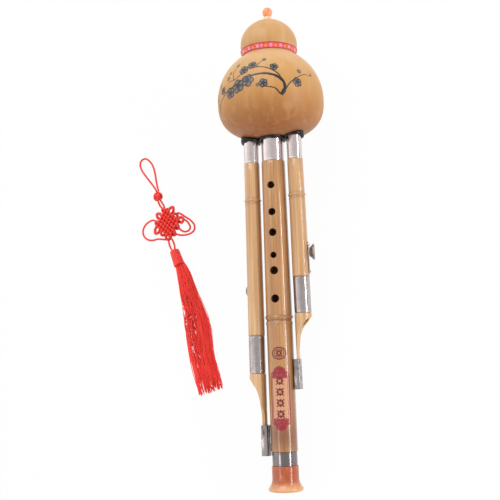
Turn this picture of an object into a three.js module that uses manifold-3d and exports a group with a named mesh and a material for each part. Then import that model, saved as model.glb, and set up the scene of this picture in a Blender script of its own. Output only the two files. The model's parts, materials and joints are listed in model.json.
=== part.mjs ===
// A hulusi: a gourd that serves as wind chamber, one fingered bamboo pipe between two drone pipes,
// and its red knotted tassel lying beside it.
// Millimetres. The instrument lies on its back along Y with the gourd towards +Y and its finger
// holes up. The origin is on the table, under the middle of the instrument.

import * as THREE from 'three';
import { mergeVertices } from 'three/addons/utils/BufferGeometryUtils.js';
import Module from 'manifold-3d';

const wasm = await Module();
wasm.setup();

// Clearances and working values shared by every piece
const fit = 0.3;
const overrun = 2;
const mergeDistance = 0.0005;
const fullTurn = 2 * Math.PI;
const quarterTurn = Math.PI / 2;
const slopeSteps = 40;

// Gourd
const bulbRadius = 46.4;
const bulbDepth = 32;
const bulbRise = 46.6;
const crownRadius = 24.6;
const crownRise = 23.4;
const waistDepth = 2.3;
const waistFillet = 2.4;
const gourdWall = 4;
const bulbSquareness = 2.6;
const gourdSides = 36;
const gourdSteps = 8;
const hollowSteps = 5;

// Waist ribbon
const ribbonWidth = 5.2;
const ribbonThickness = 0.8;
const ribbonSteps = 3;

// Mouthpiece and its stopper
const mouthRadius = 3.3;
const mouthBore = 2.1;
const mouthShown = 3.6;
const mouthLength = 13;
const stopperBall = 4.45;
const stopperStem = 9;
const mouthSides = 16;
const stopperSteps = 9;

// Main pipe, counted from the foot of the bell up
const bellLength = 20.4;
const footFerruleLength = 11.3;
const bambooLength = 245.3;
const ferruleShown = 21;
const mainFootRadius = 11.05;
const mainTopRadius = 10.1;
const bambooEdge = 0.4;
const mainBore = 7.9;
const mainTopBore = 6.3;
const mainNodeShare = 0.45;
const nodeSwell = 1;
const nodeWidth = 9;
const mainSides = 28;

// The main pipe's node as a turned outline: heights as shares of nodeWidth from its middle, and
// swells as shares of nodeSwell
const nodeRingShares = [[-0.7, 0], [-0.5, 0.4], [-0.3, 0], [-0.09, 0.85], [0.05, 1], [0.19, 0.8]];

// Finger holes as shares of the bamboo's length from its foot, and their diameters
const fingerHoleShares = [0.9107, 0.8161, 0.744, 0.6649, 0.6119, 0.5153];
const fingerHoleDiameters = [5.6, 5.6, 5.9, 4.8, 6.2, 6.2];
const thumbHoleShare = 0.9364;
const thumbHoleDiameter = 6.2;
const cordHoleShares = [0.155, 0.085];
const cordHoleDiameter = 4.6;
const holeSides = 12;

// Metal sleeves
const ferruleWall = 0.65;
const mainFerruleInset = 0.4;
const footFerruleRadius = 10.4;

// Foot bell
const bellRadius = 11.15;
const bellRimRadius = 14.7;
const bellRimHeight = 2.2;
const bellFlare = 8.5;
const bellLip = 1.5;
const bellLipShares = [[0.3, 0.35], [0, 1]];
const bellFlareShares = [[0.77, 0.3], [0.2, 0.65], [0, 1]];
const bellEndWidth = 2.4;
const bellEndInset = 1.2;
const bellSocket = 6;
const bellSides = 32;

// Reed ends inside the gourd
const reedReach = 32;
const reedCap = 3;
const mainReedLength = 24;
const mainReedWidth = 8;
const sideReedLength = 18;
const sideReedWidth = 5.4;
const reedThickness = 0.6;
const reedSlit = 0.45;
const reedFaceShare = 0.45;
const reedWindowShare = 0.7;
const reedTongueShare = 0.56;
const reedPointShare = 3;

// Drone pipes, one on each side of the main pipe. A clip's rise is counted from the bell's top, and
// a stopper plate's rise from the drone's foot.
const pipeGap = 3.05;
const sideTopRadius = 6.75;
const sideFerruleInset = 0.15;
const sideBambooEdge = 0.25;
const sideBore = 4.3;
const sideTopBore = 3.7;
const sideNodeSwell = 0.8;
const sideNodeWidth = 4.5;
const sideNodeShares = [[-0.5, 0], [-0.2, 0.75], [0, 1], [0.25, 0.5], [0.5, 0]];
const sideSides = 20;
const leftPipe = {
  name: 'left',
  sign: -1,
  clipRise: 8,
  clipLength: 25,
  scarf: 43,
  strip: 3.3,
  sleeveLength: 31.1,
  footRadius: 7.05,
  nodeShare: 0.78,
  plateRise: 21,
  stopperTurn: THREE.MathUtils.degToRad(-116),
};
const rightPipe = {
  name: 'right',
  sign: 1,
  clipRise: 62,
  clipLength: 25,
  scarf: 38,
  strip: 1.6,
  sleeveLength: 30,
  footRadius: 7.25,
  nodeShare: 0.694,
  plateRise: 2.3,
  stopperTurn: THREE.MathUtils.degToRad(-10),
};

// Scarf-cut tails, their clips and pins
const tailBore = 4.6;
const stripHalfWidth = 3.6;
const scarfShares = [
  [0, 1], [0.05, 0.88], [0.13, 0.66], [0.22, 0.44], [0.33, 0.22], [0.5, 0.07], [0.75, 0.01], [1, 0],
];
const scarfWaistShares = [0.3, 0.85];
const clipWall = 0.9;
const clipGap = 3.1;
const clipFoot = 6;
const clipCorner = 1.4;
const crimpDepth = 0.45;
const crimpShares = [0.2, 0.5, 0.8];
const crimpSides = 8;
const pinShare = 0.36;
const pinReachShare = 0.6;
const pinRadius = 0.7;
const pinHeadRadius = 1.3;
const pinHeadHeight = 0.8;
const pinSides = 8;
const domeShares = [[1, 0], [0.78, 0.7], [0, 1]];

// Drone stoppers on the sides of the drone pipes
const knobRadius = 6.8;
const knobNeck = 4;
const knobHeight = 4.2;
const knobRim = 1.1;
const knobCrown = 0.35;
const knobConeShares = [[0, 0], [0.08, 0.2], [0.45, 0.45]];
const knobRimShares = [0.7, 0.2];
const plugRadius = 2.1;
const plugReach = 2;
const plateLength = 27.5;
const plateWidth = 6.4;
const plateThickness = 0.6;
const plateStopperShare = 0.68;
const nailInset = 2.2;
const nailRadius = 0.55;
const nailHeadRadius = 1.15;
const nailHeadHeight = 0.7;
const nailReach = 1.6;
const knobSides = 20;

// Black sealant where the pipes enter the gourd
const sealHeight = 4.2;
const sealSpreadShare = 0.78;
const sealBeadShares = [[0, 0], [0.6, 0.12], [1, 0.5]];
const sealReachShare = 0.25;
const sealSides = 16;

// Tassel: its cord, the woven endless knot, the button knot, the bound head and the fringe
const cordDiameter = 1.8;
const cordSides = 8;
const cordStepShare = 2.4;
const cordLengthSteps = 40;
const layGap = 0.1;
const knotCord = 1.4;
const knotLines = 6;
const knotPitch = 3.4;
const knotLift = 1.8;
const knotSagShare = 0.8;
const knotSides = 6;
const knotStepShare = 1.06;
const knotEdgeShare = 0.62;
const knotLoopShare = 1.35;
const knotReachShare = 1.1;
const knotCornerShare = 0.6;
const gapSteps = 6;
const gapStartShare = 3;
const knotPlace = new THREE.Vector3(-114.7, 33.2, 0);
const knotAngle = THREE.MathUtils.degToRad(99.8);
const knotNarrowing = THREE.MathUtils.degToRad(39);
const buttonRadius = 4.3;
const buttonPlace = new THREE.Vector3(-125, 60.1, buttonRadius);
const buttonLengthShare = 1.08;
const buttonSides = 14;
const buttonSteps = 8;
const headRadius = 4.5;
const headFlare = 0.7;
const headLength = 15;
const headTopShares = [0.86, 0.06];
const headPlace = new THREE.Vector3(-106.9, 6, 0);
const headAngle = THREE.MathUtils.degToRad(20.8);
const headSides = 16;

// The fringe lies along this line. Each station gives its half width and its height.
const fringeLine = [
  [-101.5, -8.6], [-98.6, -18], [-95.1, -32], [-87.2, -60.5], [-80.9, -88.3], [-73.2, -114],
  [-71.2, -122.5],
];
const fringeHalfWidths = [5, 6.6, 8.3, 12.2, 11.6, 12.6, 11.4];
const fringeHeights = [9.4, 9.2, 8, 5.6, 4.4, 3.4, 3];
const fringeSides = 20;
const fringeLobes = 7;
const fringeLobeShare = 0.05;
const tableCut = 0.5;

// Routes of the tassel's cords on the table, as points in X, Y and Z
const hangingLoopRoute = [
  [-126.4, 65.1, 4.4], [-127.7, 67.2, 3.2], [-131.2, 71.8, 1.4], [-138, 80.7, 1], [-143.6, 88.6, 1],
  [-145.6, 94, 1], [-144.6, 98.6, 1], [-140.5, 100.3, 1], [-136.1, 97.6, 1], [-132.3, 92.2, 1],
  [-130, 85, 1], [-128.1, 75.4, 1.2], [-125.7, 68.4, 3.1], [-124.4, 65.5, 4.3],
];
const leftEarRoute = [
  [-127.5, 36.8, 2.4], [-130.2, 38, 1.6], [-134, 37.4, 1], [-138.6, 34.2, 1], [-141, 29, 1],
  [-140.2, 23.9, 1], [-136.4, 19.9, 1], [-131, 18.6, 1], [-126, 19.4, 1], [-121.4, 18.8, 1.6],
  [-117.2, 18, 2.3],
];
const rightEarRoute = [
  [-105, 42.9, 2.4], [-102.2, 41.6, 1.8], [-98.2, 38.8, 1], [-92.8, 35, 1], [-88.9, 29.9, 1],
  [-89, 25.2, 1], [-93, 22.1, 1], [-98.8, 21.2, 1], [-102.2, 21.3, 1.5], [-105.9, 22.2, 2.3],
];
const rightInnerEarRoute = [
  [-97.5, 35.3, 2.5], [-95.9, 33.9, 2], [-94.6, 32.1, 1.2], [-93, 28.4, 1], [-94.2, 25.5, 1],
  [-97.6, 24.4, 1], [-100.4, 25, 1.5], [-102.9, 27, 2.3],
];
const neckLeftRoute = [
  [-124.4, 55.1, 4.2], [-123.9, 53, 3.6], [-122.8, 50.6, 2.8], [-121, 48.3, 2.5],
];
const neckRightRoute = [
  [-122.1, 55.9, 4.2], [-121.1, 54.1, 3.6], [-119.9, 52, 2.8], [-118.7, 49.1, 2.6],
];
const tailLeftRoute = [[-113.9, 17.1, 2.4], [-113.2, 13, 2.6], [-111.2, 9.2, 3.9], [-108.9, 5.9, 5]];
const tailRightRoute = [[-110.8, 18.2, 2.4], [-109, 14.8, 2.6], [-107.2, 10.6, 3.9], [-106.6, 6.8, 5]];

// The waist draws in below the crown
const waistRadius = crownRadius - waistDepth;

// Heights along the instrument's axis, from the foot
const bellTop = bellLength;
const bambooFoot = bellTop + footFerruleLength;
const bambooTop = bambooFoot + bambooLength;
const gourdBase = bambooTop + ferruleShown;
const bulbCentre = gourdBase + bulbDepth;
const waistHeight = bulbCentre + bulbRise * Math.sqrt(1 - (waistRadius / bulbRadius) ** 2);
const crownCentre = waistHeight + crownRadius * Math.sqrt(1 - (waistRadius / crownRadius) ** 2);
const gourdTop = crownCentre + crownRise * Math.sqrt(1 - (mouthRadius / crownRadius) ** 2);
const reedTop = gourdBase + reedReach;

// Radii that follow from the sizes above
const mainFerruleRadius = mainTopRadius - mainFerruleInset;
const mainTenon = mainFerruleRadius - ferruleWall - fit;
const footTenon = footFerruleRadius - ferruleWall - fit;
const sideFerruleRadius = sideTopRadius - sideFerruleInset;
const sideTenon = sideFerruleRadius - ferruleWall - fit;
const sideOffsetTop = mainFerruleRadius + pipeGap + sideFerruleRadius;
const nodeHeight = bambooFoot + bambooLength * mainNodeShare;

// Finishes
function finish(colour, roughness, metalness = 0) {
  return new THREE.MeshStandardMaterial({ color: colour, roughness, metalness });
}

const gourdSkin = finish(0xd69a5a, 0.42);
const paleBamboo = finish(0xdcb088, 0.4);
const goldenBamboo = finish(0xc79968, 0.38);
const polishedSteel = finish(0xbdb4b2, 0.2, 1);
const dullSteel = finish(0x89817c, 0.34, 1);
const reedBrass = finish(0xb8923f, 0.3, 1);
const blackSealant = finish(0x1d1c1e, 0.45);
const amberResin = finish(0xf8ab80, 0.22);
const paleResin = finish(0xeab79d, 0.3);
const bellResin = finish(0xbf7550, 0.3);
const ribbonRed = finish(0xde6e5e, 0.75);
const cordRed = finish(0xe33b34, 0.7);

// A closed solid from any geometry, with its shared corners merged and its faces pointing out
function solidOf(geometry) {
  const bare = geometry.clone();
  bare.deleteAttribute('normal');
  bare.deleteAttribute('uv');
  const merged = mergeVertices(bare, mergeDistance);
  const points = merged.getAttribute('position').array;
  const corners = merged.getIndex().array;
  const kept = [];
  let volume = 0;
  const [a, b, c] = [new THREE.Vector3(), new THREE.Vector3(), new THREE.Vector3()];
  for (let i = 0; i < corners.length; i += 3) {
    const [p, q, r] = corners.slice(i, i + 3);
    if (p === q || q === r || r === p) continue;
    kept.push(p, q, r);
    a.fromArray(points, 3 * p);
    b.fromArray(points, 3 * q);
    c.fromArray(points, 3 * r);
    volume += a.dot(b.cross(c));
  }
  const triVerts = new Uint32Array(volume < 0 ? kept.reverse() : kept);
  const vertProperties = new Float32Array(points);
  return new wasm.Manifold(new wasm.Mesh({ numProp: 3, vertProperties, triVerts }));
}

// A named mesh from a solid
function meshOf(name, solid, material) {
  const cut = solid.getMesh();
  const geometry = new THREE.BufferGeometry();
  const points = new Float32Array((cut.vertProperties.length / cut.numProp) * 3);
  for (let i = 0; i < points.length / 3; i += 1) {
    for (let k = 0; k < 3; k += 1) points[3 * i + k] = cut.vertProperties[i * cut.numProp + k];
  }
  geometry.setAttribute('position', new THREE.BufferAttribute(points, 3));
  geometry.setIndex(new THREE.BufferAttribute(new Uint32Array(cut.triVerts), 1));
  geometry.computeVertexNormals();
  const mesh = new THREE.Mesh(geometry, material);
  mesh.name = name;
  return mesh;
}

// A solid of revolution about the pipe's axis, Y, from [radius, height] pairs, with a flat face
// towards the table
function turned(outline, sides) {
  const points = outline.map(([radius, height]) => new THREE.Vector2(radius, height));
  return solidOf(new THREE.LatheGeometry(points, sides, Math.PI / sides));
}

// A sleeve, whose outline closes on itself
function sleeve(inner, outer, foot, top, sides) {
  return turned([[inner, foot], [outer, foot], [outer, top], [inner, top], [inner, foot]], sides);
}

// A straight round cutter from the point start, along the direction, of the given length
function rod(start, direction, length, radius, sides) {
  const geometry = new THREE.CylinderGeometry(radius, radius, length, sides);
  geometry.translate(0, length / 2, 0);
  const turn = new THREE.Quaternion().setFromUnitVectors(new THREE.Vector3(0, 1, 0), direction);
  geometry.applyQuaternion(turn);
  geometry.translate(start.x, start.y, start.z);
  return solidOf(geometry);
}

// A box between two corners
function block(low, high) {
  const size = high.clone().sub(low);
  const geometry = new THREE.BoxGeometry(size.x, size.y, size.z);
  const middle = low.clone().add(high).multiplyScalar(0.5);
  geometry.translate(middle.x, middle.y, middle.z);
  return solidOf(geometry);
}

// A flat outline in X and Y, drawn out along Z by half the depth to each side
function plateOf(outline, depth, hole = null) {
  const points = outline.map(([x, y]) => new THREE.Vector2(x, y));
  if (THREE.ShapeUtils.area(points) < 0) points.reverse();
  const shape = new THREE.Shape(points);
  if (hole) shape.holes.push(new THREE.Path(hole.map(([x, y]) => new THREE.Vector2(x, y))));
  const geometry = new THREE.ExtrudeGeometry(shape, { depth, bevelEnabled: false });
  geometry.translate(0, 0, -depth / 2);
  return geometry;
}

// The gourd's radius at a height, for its outside or, with the wall taken off, its inside
function gourdRadiusAt(height, wall) {
  const rise = height - bulbCentre;
  const span = (rise < 0 ? bulbDepth : bulbRise) - wall;
  const power = rise < 0 ? bulbSquareness : 2;
  const bulbShare = Math.min(1, Math.abs(rise) / span);
  const bulb = (bulbRadius - wall) * (1 - bulbShare ** power) ** (1 / power);
  const lift = height - crownCentre;
  const crownSpan = (lift < 0 ? crownRadius : crownRise) - wall;
  const crownShare = Math.min(1, Math.abs(lift) / crownSpan);
  const crown = (crownRadius - wall) * Math.sqrt(1 - crownShare ** 2);
  if (bulb === 0 || crown === 0) return Math.max(bulb, crown);
  return (bulb + crown + Math.hypot(bulb - crown, waistFillet)) / 2;
}

// The gourd's side from its pipe hole up to its mouth hole, as [radius, height] pairs
function gourdSide(wall, foot, mouth, steps) {
  const side = [];
  const base = bulbDepth - wall;
  const radius = bulbRadius - wall;
  const first = Math.acos((foot / radius) ** (bulbSquareness / 2));
  side.push([foot, bulbCentre - base * Math.sin(first) ** (2 / bulbSquareness)]);
  for (let i = 1; i < steps; i += 1) {
    const height = bulbCentre - base * Math.sin(first * (1 - i / steps)) ** (2 / bulbSquareness);
    side.push([gourdRadiusAt(height, wall), height]);
  }
  const rise = waistHeight - bulbCentre;
  const bend = Math.asin(Math.min(1, rise / bulbRise));
  for (let i = 0; i <= steps; i += 1) {
    const height = bulbCentre + (rise * Math.sin((bend * i) / steps)) / Math.sin(bend);
    side.push([gourdRadiusAt(height, wall), height]);
  }
  const crownSpan = crownRise - wall;
  const last = Math.acos(mouth / (crownRadius - wall));
  const lowest = (waistHeight - crownCentre) / crownRadius;
  const start = Math.asin(lowest);
  for (let i = 1; i <= steps; i += 1) {
    const turn = start + ((last - start) * i) / steps;
    const height = crownCentre + (turn < 0 ? crownRadius : crownSpan) * Math.sin(turn);
    side.push([i === steps ? mouth : gourdRadiusAt(height, wall), height]);
  }
  return side;
}

// The place of a drone pipe at any height: its distance from the main axis and its lean
function dronePlace(side) {
  const tailRadius = side.footRadius;
  const footOffset = mainFootRadius + clipGap + tailRadius;
  const clipMiddle = bellTop + side.clipRise + side.clipLength / 2;
  const lean = Math.atan((footOffset - sideOffsetTop) / (gourdBase - clipMiddle));
  const offset = sideOffsetTop + gourdBase * Math.tan(lean);
  return { lean, offset };
}

// A group whose Y axis is the drone pipe's own axis
function droneFrame(side) {
  const { lean, offset } = dronePlace(side);
  const group = new THREE.Group();
  group.position.set(side.sign * offset, 0, 0);
  group.rotation.z = side.sign * lean;
  group.updateMatrix();
  return group;
}

// The gourd's outside as it is faceted, from the pipe hole to the mouth hole
function gourdOutside() {
  return gourdSide(0, mainFerruleRadius + fit, mouthRadius + fit, gourdSteps);
}

// The radius of a faceted side at a height between its ends
function facetedRadiusAt(side, height) {
  const above = side.findIndex(([, rise]) => rise > height);
  const [[lowRadius, low], [highRadius, high]] = [side[above - 1], side[above]];
  return lowRadius + ((highRadius - lowRadius) * (height - low)) / (high - low);
}

// The way through the gourd's foot and its sealant for a drone's ferrule
function ferruleHole(side, sides, turn) {
  const radius = sideFerruleRadius + fit;
  const hole = new THREE.CylinderGeometry(radius, radius, bulbDepth, sides);
  hole.rotateY(turn);
  hole.translate(0, gourdBase, 0);
  hole.applyMatrix4(droneFrame(side).matrix);
  return solidOf(hole);
}

function gourdShell() {
  const outside = gourdOutside();
  const inside = gourdSide(gourdWall, mainFerruleRadius + fit, mouthRadius + fit, hollowSteps);
  inside.reverse();
  let shell = turned([...outside, ...inside, outside[0]], gourdSides);
  for (const side of [leftPipe, rightPipe]) {
    shell = shell.subtract(ferruleHole(side, sideSides, 0));
  }
  return meshOf('gourd_shell', shell, gourdSkin);
}

function waistRibbon() {
  const foot = waistHeight + fit;
  const side = gourdOutside();
  const outline = [];
  for (let i = 0; i <= ribbonSteps; i += 1) {
    const height = foot + (ribbonWidth * i) / ribbonSteps;
    outline.push([facetedRadiusAt(side, height) + fit, height]);
  }
  for (let i = ribbonSteps; i >= 0; i -= 1) {
    const [radius, height] = outline[i];
    outline.push([radius + ribbonThickness, height]);
  }
  outline.push(outline[0]);
  return meshOf('waist_ribbon', turned(outline, gourdSides), ribbonRed);
}

function mouthpieceTube() {
  const top = gourdTop + mouthShown;
  const tube = sleeve(mouthBore, mouthRadius, top - mouthLength, top, mouthSides);
  return meshOf('mouthpiece_tube', tube, paleResin);
}

function mouthStopper() {
  const rest = gourdTop + mouthShown + fit;
  const stem = mouthBore - fit;
  const seat = Math.sqrt(stopperBall ** 2 - mouthBore ** 2);
  const centre = rest + seat;
  const foot = rest - stopperStem;
  const outline = [[0, foot], [stem, foot], [stem, centre - Math.sqrt(stopperBall ** 2 - stem ** 2)]];
  const first = Math.asin(stem / stopperBall);
  const steps = stopperSteps;
  for (let i = 1; i <= steps; i += 1) {
    const turn = first + ((Math.PI - first) * i) / steps;
    outline.push([i === steps ? 0 : stopperBall * Math.sin(turn), centre - stopperBall * Math.cos(turn)]);
  }
  return meshOf('mouth_stopper', turned(outline, mouthSides), amberResin);
}

// One bead of sealant round a ferrule, slumped against the gourd
function sealBead(radius, spread) {
  const foot = gourdBase - sealHeight;
  const top = gourdBase + bulbDepth * sealReachShare;
  const outline = sealBeadShares.map(([out, up]) => [radius + spread * out, foot + sealHeight * up]);
  outline.push([radius + spread, top], [radius, top], [radius, foot]);
  const points = outline.map(([r, h]) => new THREE.Vector2(r, h));
  return new THREE.LatheGeometry(points, sealSides, Math.PI / sealSides);
}

function pipeSeal() {
  const spread = pipeGap * sealSpreadShare;
  let seal = solidOf(sealBead(mainFerruleRadius + fit, spread));
  for (const side of [leftPipe, rightPipe]) {
    const bead = sealBead(sideFerruleRadius + fit, spread);
    bead.applyMatrix4(droneFrame(side).matrix);
    seal = seal.add(solidOf(bead));
  }
  const skin = gourdSide(-fit, mainTenon / 2, mouthRadius, gourdSteps);
  const gourd = turned([[0, skin[0][1]], ...skin, [0, skin.at(-1)[1]]], gourdSides);
  seal = seal.subtract(gourd);
  const upward = new THREE.Vector3(0, 1, 0);
  seal = seal.subtract(rod(new THREE.Vector3(), upward, reedTop, mainFerruleRadius + fit, mainSides));
  for (const side of [leftPipe, rightPipe]) {
    seal = seal.subtract(ferruleHole(side, sealSides, Math.PI / sealSides));
  }
  return meshOf('pipe_seal', seal, blackSealant);
}

// The main pipe's outer radius at a height, between its foot and its top
function mainRadiusAt(height) {
  const share = (height - nodeHeight) / (bambooTop - nodeHeight);
  return share <= 0 ? mainFootRadius : mainFootRadius + (mainTopRadius - mainFootRadius) * share;
}

function mainPipe() {
  const tenonFoot = bellTop - bellSocket + fit;
  const above = nodeHeight + nodeWidth / 2;
  const rings = nodeRingShares.map(([rise, swell]) => [
    mainFootRadius + nodeSwell * swell,
    nodeHeight + nodeWidth * rise,
  ]);
  const outside = [
    [footTenon, tenonFoot],
    [footTenon, bambooFoot + fit],
    [mainFootRadius - bambooEdge, bambooFoot + fit],
    [mainFootRadius, bambooFoot + fit + bambooEdge],
    ...rings,
    [mainRadiusAt(above), above],
    [mainTopRadius, bambooTop - bambooEdge],
    [mainTopRadius - bambooEdge / 2, bambooTop],
    [mainTenon, bambooTop],
    [mainTenon, reedTop],
    [0, reedTop],
  ];
  const inside = [
    [0, reedTop - reedCap],
    [mainTopBore, reedTop - reedCap],
    [mainTopBore, bambooTop],
    [mainBore, nodeHeight],
    [mainBore, tenonFoot],
    [footTenon, tenonFoot],
  ];
  let pipe = turned([...outside, ...inside], mainSides);
  const up = new THREE.Vector3(0, 0, 1);
  const down = new THREE.Vector3(0, 0, -1);
  const reach = mainFootRadius + overrun;
  fingerHoleShares.forEach((share, i) => {
    const start = new THREE.Vector3(0, bambooFoot + bambooLength * share, 0);
    pipe = pipe.subtract(rod(start, up, reach, fingerHoleDiameters[i] / 2, holeSides));
  });
  const thumb = new THREE.Vector3(0, bambooFoot + bambooLength * thumbHoleShare, 0);
  pipe = pipe.subtract(rod(thumb, down, reach, thumbHoleDiameter / 2, holeSides));
  for (const share of cordHoleShares) {
    const start = new THREE.Vector3(0, bambooFoot + bambooLength * share, 0);
    pipe = pipe.subtract(rod(start, down, reach, cordHoleDiameter / 2, holeSides));
  }
  pipe = pipe.subtract(reedSeat(mainTenon, mainTopBore, mainReedLength, mainReedWidth));
  for (const side of [leftPipe, rightPipe]) pipe = pipe.subtract(pinHole(side));
  return meshOf('main_pipe', pipe, goldenBamboo);
}

// The flat on a pipe's end inside the gourd and the window through it, which the reed covers
function reedSeat(radius, bore, length, width) {
  const top = reedTop - reedCap;
  const face = reedFace(radius, bore);
  const flat = block(
    new THREE.Vector3(-radius - overrun, top - length - fit, face),
    new THREE.Vector3(radius + overrun, reedTop + overrun, radius + overrun),
  );
  const half = (width * reedWindowShare) / 2;
  const margin = width / 2 - half;
  const window = block(
    new THREE.Vector3(-half, top - length + margin, 0),
    new THREE.Vector3(half, top - margin, radius + overrun),
  );
  return flat.add(window);
}

// How far the reed's flat lies from the pipe's axis
function reedFace(radius, bore) {
  return bore + (radius - bore) * reedFaceShare;
}

// A reed plate with its tongue cut free by two slits that meet in a point
function reedPlate(name, radius, bore, length, width) {
  const top = reedTop - reedCap;
  const plate = plateOf(
    [[-width / 2, top - length], [width / 2, top - length], [width / 2, top], [-width / 2, top]],
    reedThickness,
  );
  const root = (width * reedTongueShare) / 2;
  const margin = (width * (1 - reedWindowShare)) / 2;
  const tip = top - length + margin + reedSlit;
  const base = top - margin - reedSlit;
  const point = tip + reedSlit * reedPointShare;
  const slits = plateOf(
    [[-root, base], [0, tip], [root, base], [root - reedSlit, base], [0, point], [reedSlit - root, base]],
    reedThickness + overrun,
  );
  const solid = solidOf(plate).subtract(solidOf(slits));
  const mesh = meshOf(name, solid, reedBrass);
  mesh.position.z = reedFace(radius, bore) + fit / 2 + reedThickness / 2;
  return mesh;
}

// A metal sleeve of the common wall round the pipe's axis
function ferrule(name, outer, foot, top, sides, material) {
  return meshOf(name, sleeve(outer - ferruleWall, outer, foot, top, sides), material);
}

function mainFerrule() {
  const top = gourdBase + gourdWall / 2;
  return ferrule('main_ferrule', mainFerruleRadius, bambooTop + fit / 2, top, mainSides, polishedSteel);
}

function footFerrule() {
  const foot = bellTop + fit / 2;
  return ferrule('foot_ferrule', footFerruleRadius, foot, bambooFoot, mainSides, dullSteel);
}

function footBell() {
  const endRadius = bellRimRadius - bellEndInset;
  const lip = bellLipShares.map(([inset, rise]) => [
    bellRimRadius - bellLip * inset,
    bellRimHeight * rise,
  ]);
  const flare = bellFlareShares.map(([out, rise]) => [
    bellRadius + (bellRimRadius - bellRadius) * out,
    bellRimHeight + (bellFlare - bellRimHeight) * rise,
  ]);
  const outline = [
    [endRadius, 0],
    ...lip,
    ...flare,
    [bellRadius, bellTop],
    [footTenon + fit, bellTop],
    [footTenon + fit, bellTop - bellSocket],
    [mainBore, bellTop - bellSocket],
    [mainBore, bellFlare],
    [endRadius - bellEndWidth, 0],
    [endRadius, 0],
  ];
  return meshOf('foot_bell', turned(outline, bellSides), bellResin);
}

// Heights of the pieces of one drone pipe, from the foot of the instrument
function droneHeights(side) {
  const clipFoot = bellTop + side.clipRise;
  const clipTop = clipFoot + side.clipLength;
  const sleeveFoot = clipTop + side.scarf;
  return { clipFoot, clipTop, sleeveFoot, foot: sleeveFoot + side.sleeveLength };
}

function sleeveRadius(side) {
  return side.footRadius - sideFerruleInset;
}

function droneTenon(side) {
  return sleeveRadius(side) - ferruleWall - fit;
}

// Where a drone stopper stands: its height and its direction away from the pipe
function stopperPlace(side) {
  const height = droneHeights(side).foot + side.plateRise + plateLength * plateStopperShare;
  const direction = new THREE.Vector3(Math.cos(side.stopperTurn), 0, Math.sin(side.stopperTurn));
  return { height, direction };
}

function dronePipe(side) {
  const { foot, sleeveFoot } = droneHeights(side);
  const joint = (foot + sleeveFoot) / 2 + fit / 2;
  const tenon = droneTenon(side);
  const length = bambooTop - foot;
  const node = foot + length * side.nodeShare;
  const taper = (sideTopRadius - side.footRadius) / length;
  const rings = sideNodeShares.map(([rise, swell]) => {
    const height = node + sideNodeWidth * rise;
    return [side.footRadius + taper * (height - foot) + sideNodeSwell * swell, height];
  });
  const outline = [
    [tenon, joint],
    [tenon, foot + fit],
    [side.footRadius - sideBambooEdge, foot + fit],
    [side.footRadius, foot + fit + sideBambooEdge],
    ...rings,
    [sideTopRadius, bambooTop - sideBambooEdge],
    [sideTopRadius - sideBambooEdge / 2, bambooTop],
    [sideTenon, bambooTop],
    [sideTenon, reedTop],
    [0, reedTop],
    [0, reedTop - reedCap],
    [sideTopBore, reedTop - reedCap],
    [sideTopBore, bambooTop],
    [sideBore, node],
    [sideBore, joint],
    [tenon, joint],
  ];
  let pipe = turned(outline, sideSides);
  pipe = pipe.subtract(reedSeat(sideTenon, sideTopBore, sideReedLength, sideReedWidth));
  const { height, direction } = stopperPlace(side);
  const start = new THREE.Vector3(0, height, 0);
  pipe = pipe.subtract(rod(start, direction, side.footRadius + overrun, plugRadius + fit, holeSides));
  const nailTip = side.footRadius - nailReach - fit;
  for (const rise of nailRises()) {
    const nail = new THREE.Vector3(0, height + rise, 0).addScaledVector(direction, nailTip);
    pipe = pipe.subtract(rod(nail, direction, nailReach + overrun, nailRadius + fit / 2, pinSides));
  }
  return meshOf(`${side.name}_pipe`, pipe, paleBamboo);
}

function droneFerrule(side) {
  const [foot, top] = [bambooTop + fit / 2, gourdBase + gourdWall / 2];
  return ferrule(`${side.name}_top_ferrule`, sideFerruleRadius, foot, top, sideSides, polishedSteel);
}

function droneSleeve(side) {
  const { foot, sleeveFoot } = droneHeights(side);
  const [low, high] = [sleeveFoot + fit / 2, foot + fit / 2];
  return ferrule(`${side.name}_tail_ferrule`, sleeveRadius(side), low, high, sideSides, dullSteel);
}

// The distance from the drone's axis to the cut face of its tail at the clip, towards the main pipe
function stripFace(side) {
  return side.footRadius - side.strip;
}

function droneTail(side) {
  const { foot, sleeveFoot, clipFoot: tailFoot } = droneHeights(side);
  const joint = (foot + sleeveFoot) / 2 - fit / 2;
  const tenon = droneTenon(side);
  const radius = side.footRadius;
  const tube = turned([
    [radius, tailFoot],
    [radius, sleeveFoot - fit],
    [tenon, sleeveFoot - fit],
    [tenon, joint],
    [tailBore, joint],
    [tailBore, tailFoot],
    [radius, tailFoot],
  ], sideSides);
  const outward = side.sign;
  const face = stripFace(side);
  const scoop = scarfShares.map(([drop, width]) => [
    outward * (-face + (radius + overrun + face) * width),
    sleeveFoot - side.scarf * drop - fit,
  ]);
  scoop.push([outward * -face, tailFoot - overrun]);
  scoop.push([outward * (radius + overrun), tailFoot - overrun]);
  const cutter = solidOf(plateOf(scoop, 2 * radius + overrun));
  const [waistTop, waistFoot] = scarfWaistShares.map((share) => sleeveFoot - side.scarf * share);
  const keep = plateOf([
    [-radius - overrun, joint + overrun],
    [-radius - overrun, waistTop],
    [-stripHalfWidth, waistFoot],
    [-stripHalfWidth, tailFoot - overrun],
    [stripHalfWidth, tailFoot - overrun],
    [stripHalfWidth, waistFoot],
    [radius + overrun, waistTop],
    [radius + overrun, joint + overrun],
  ], 2 * radius + overrun);
  keep.rotateY(quarterTurn);
  const tail = tube.subtract(cutter).intersect(solidOf(keep)).subtract(localPinHole(side));
  return meshOf(`${side.name}_tail`, tail, paleBamboo);
}

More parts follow.
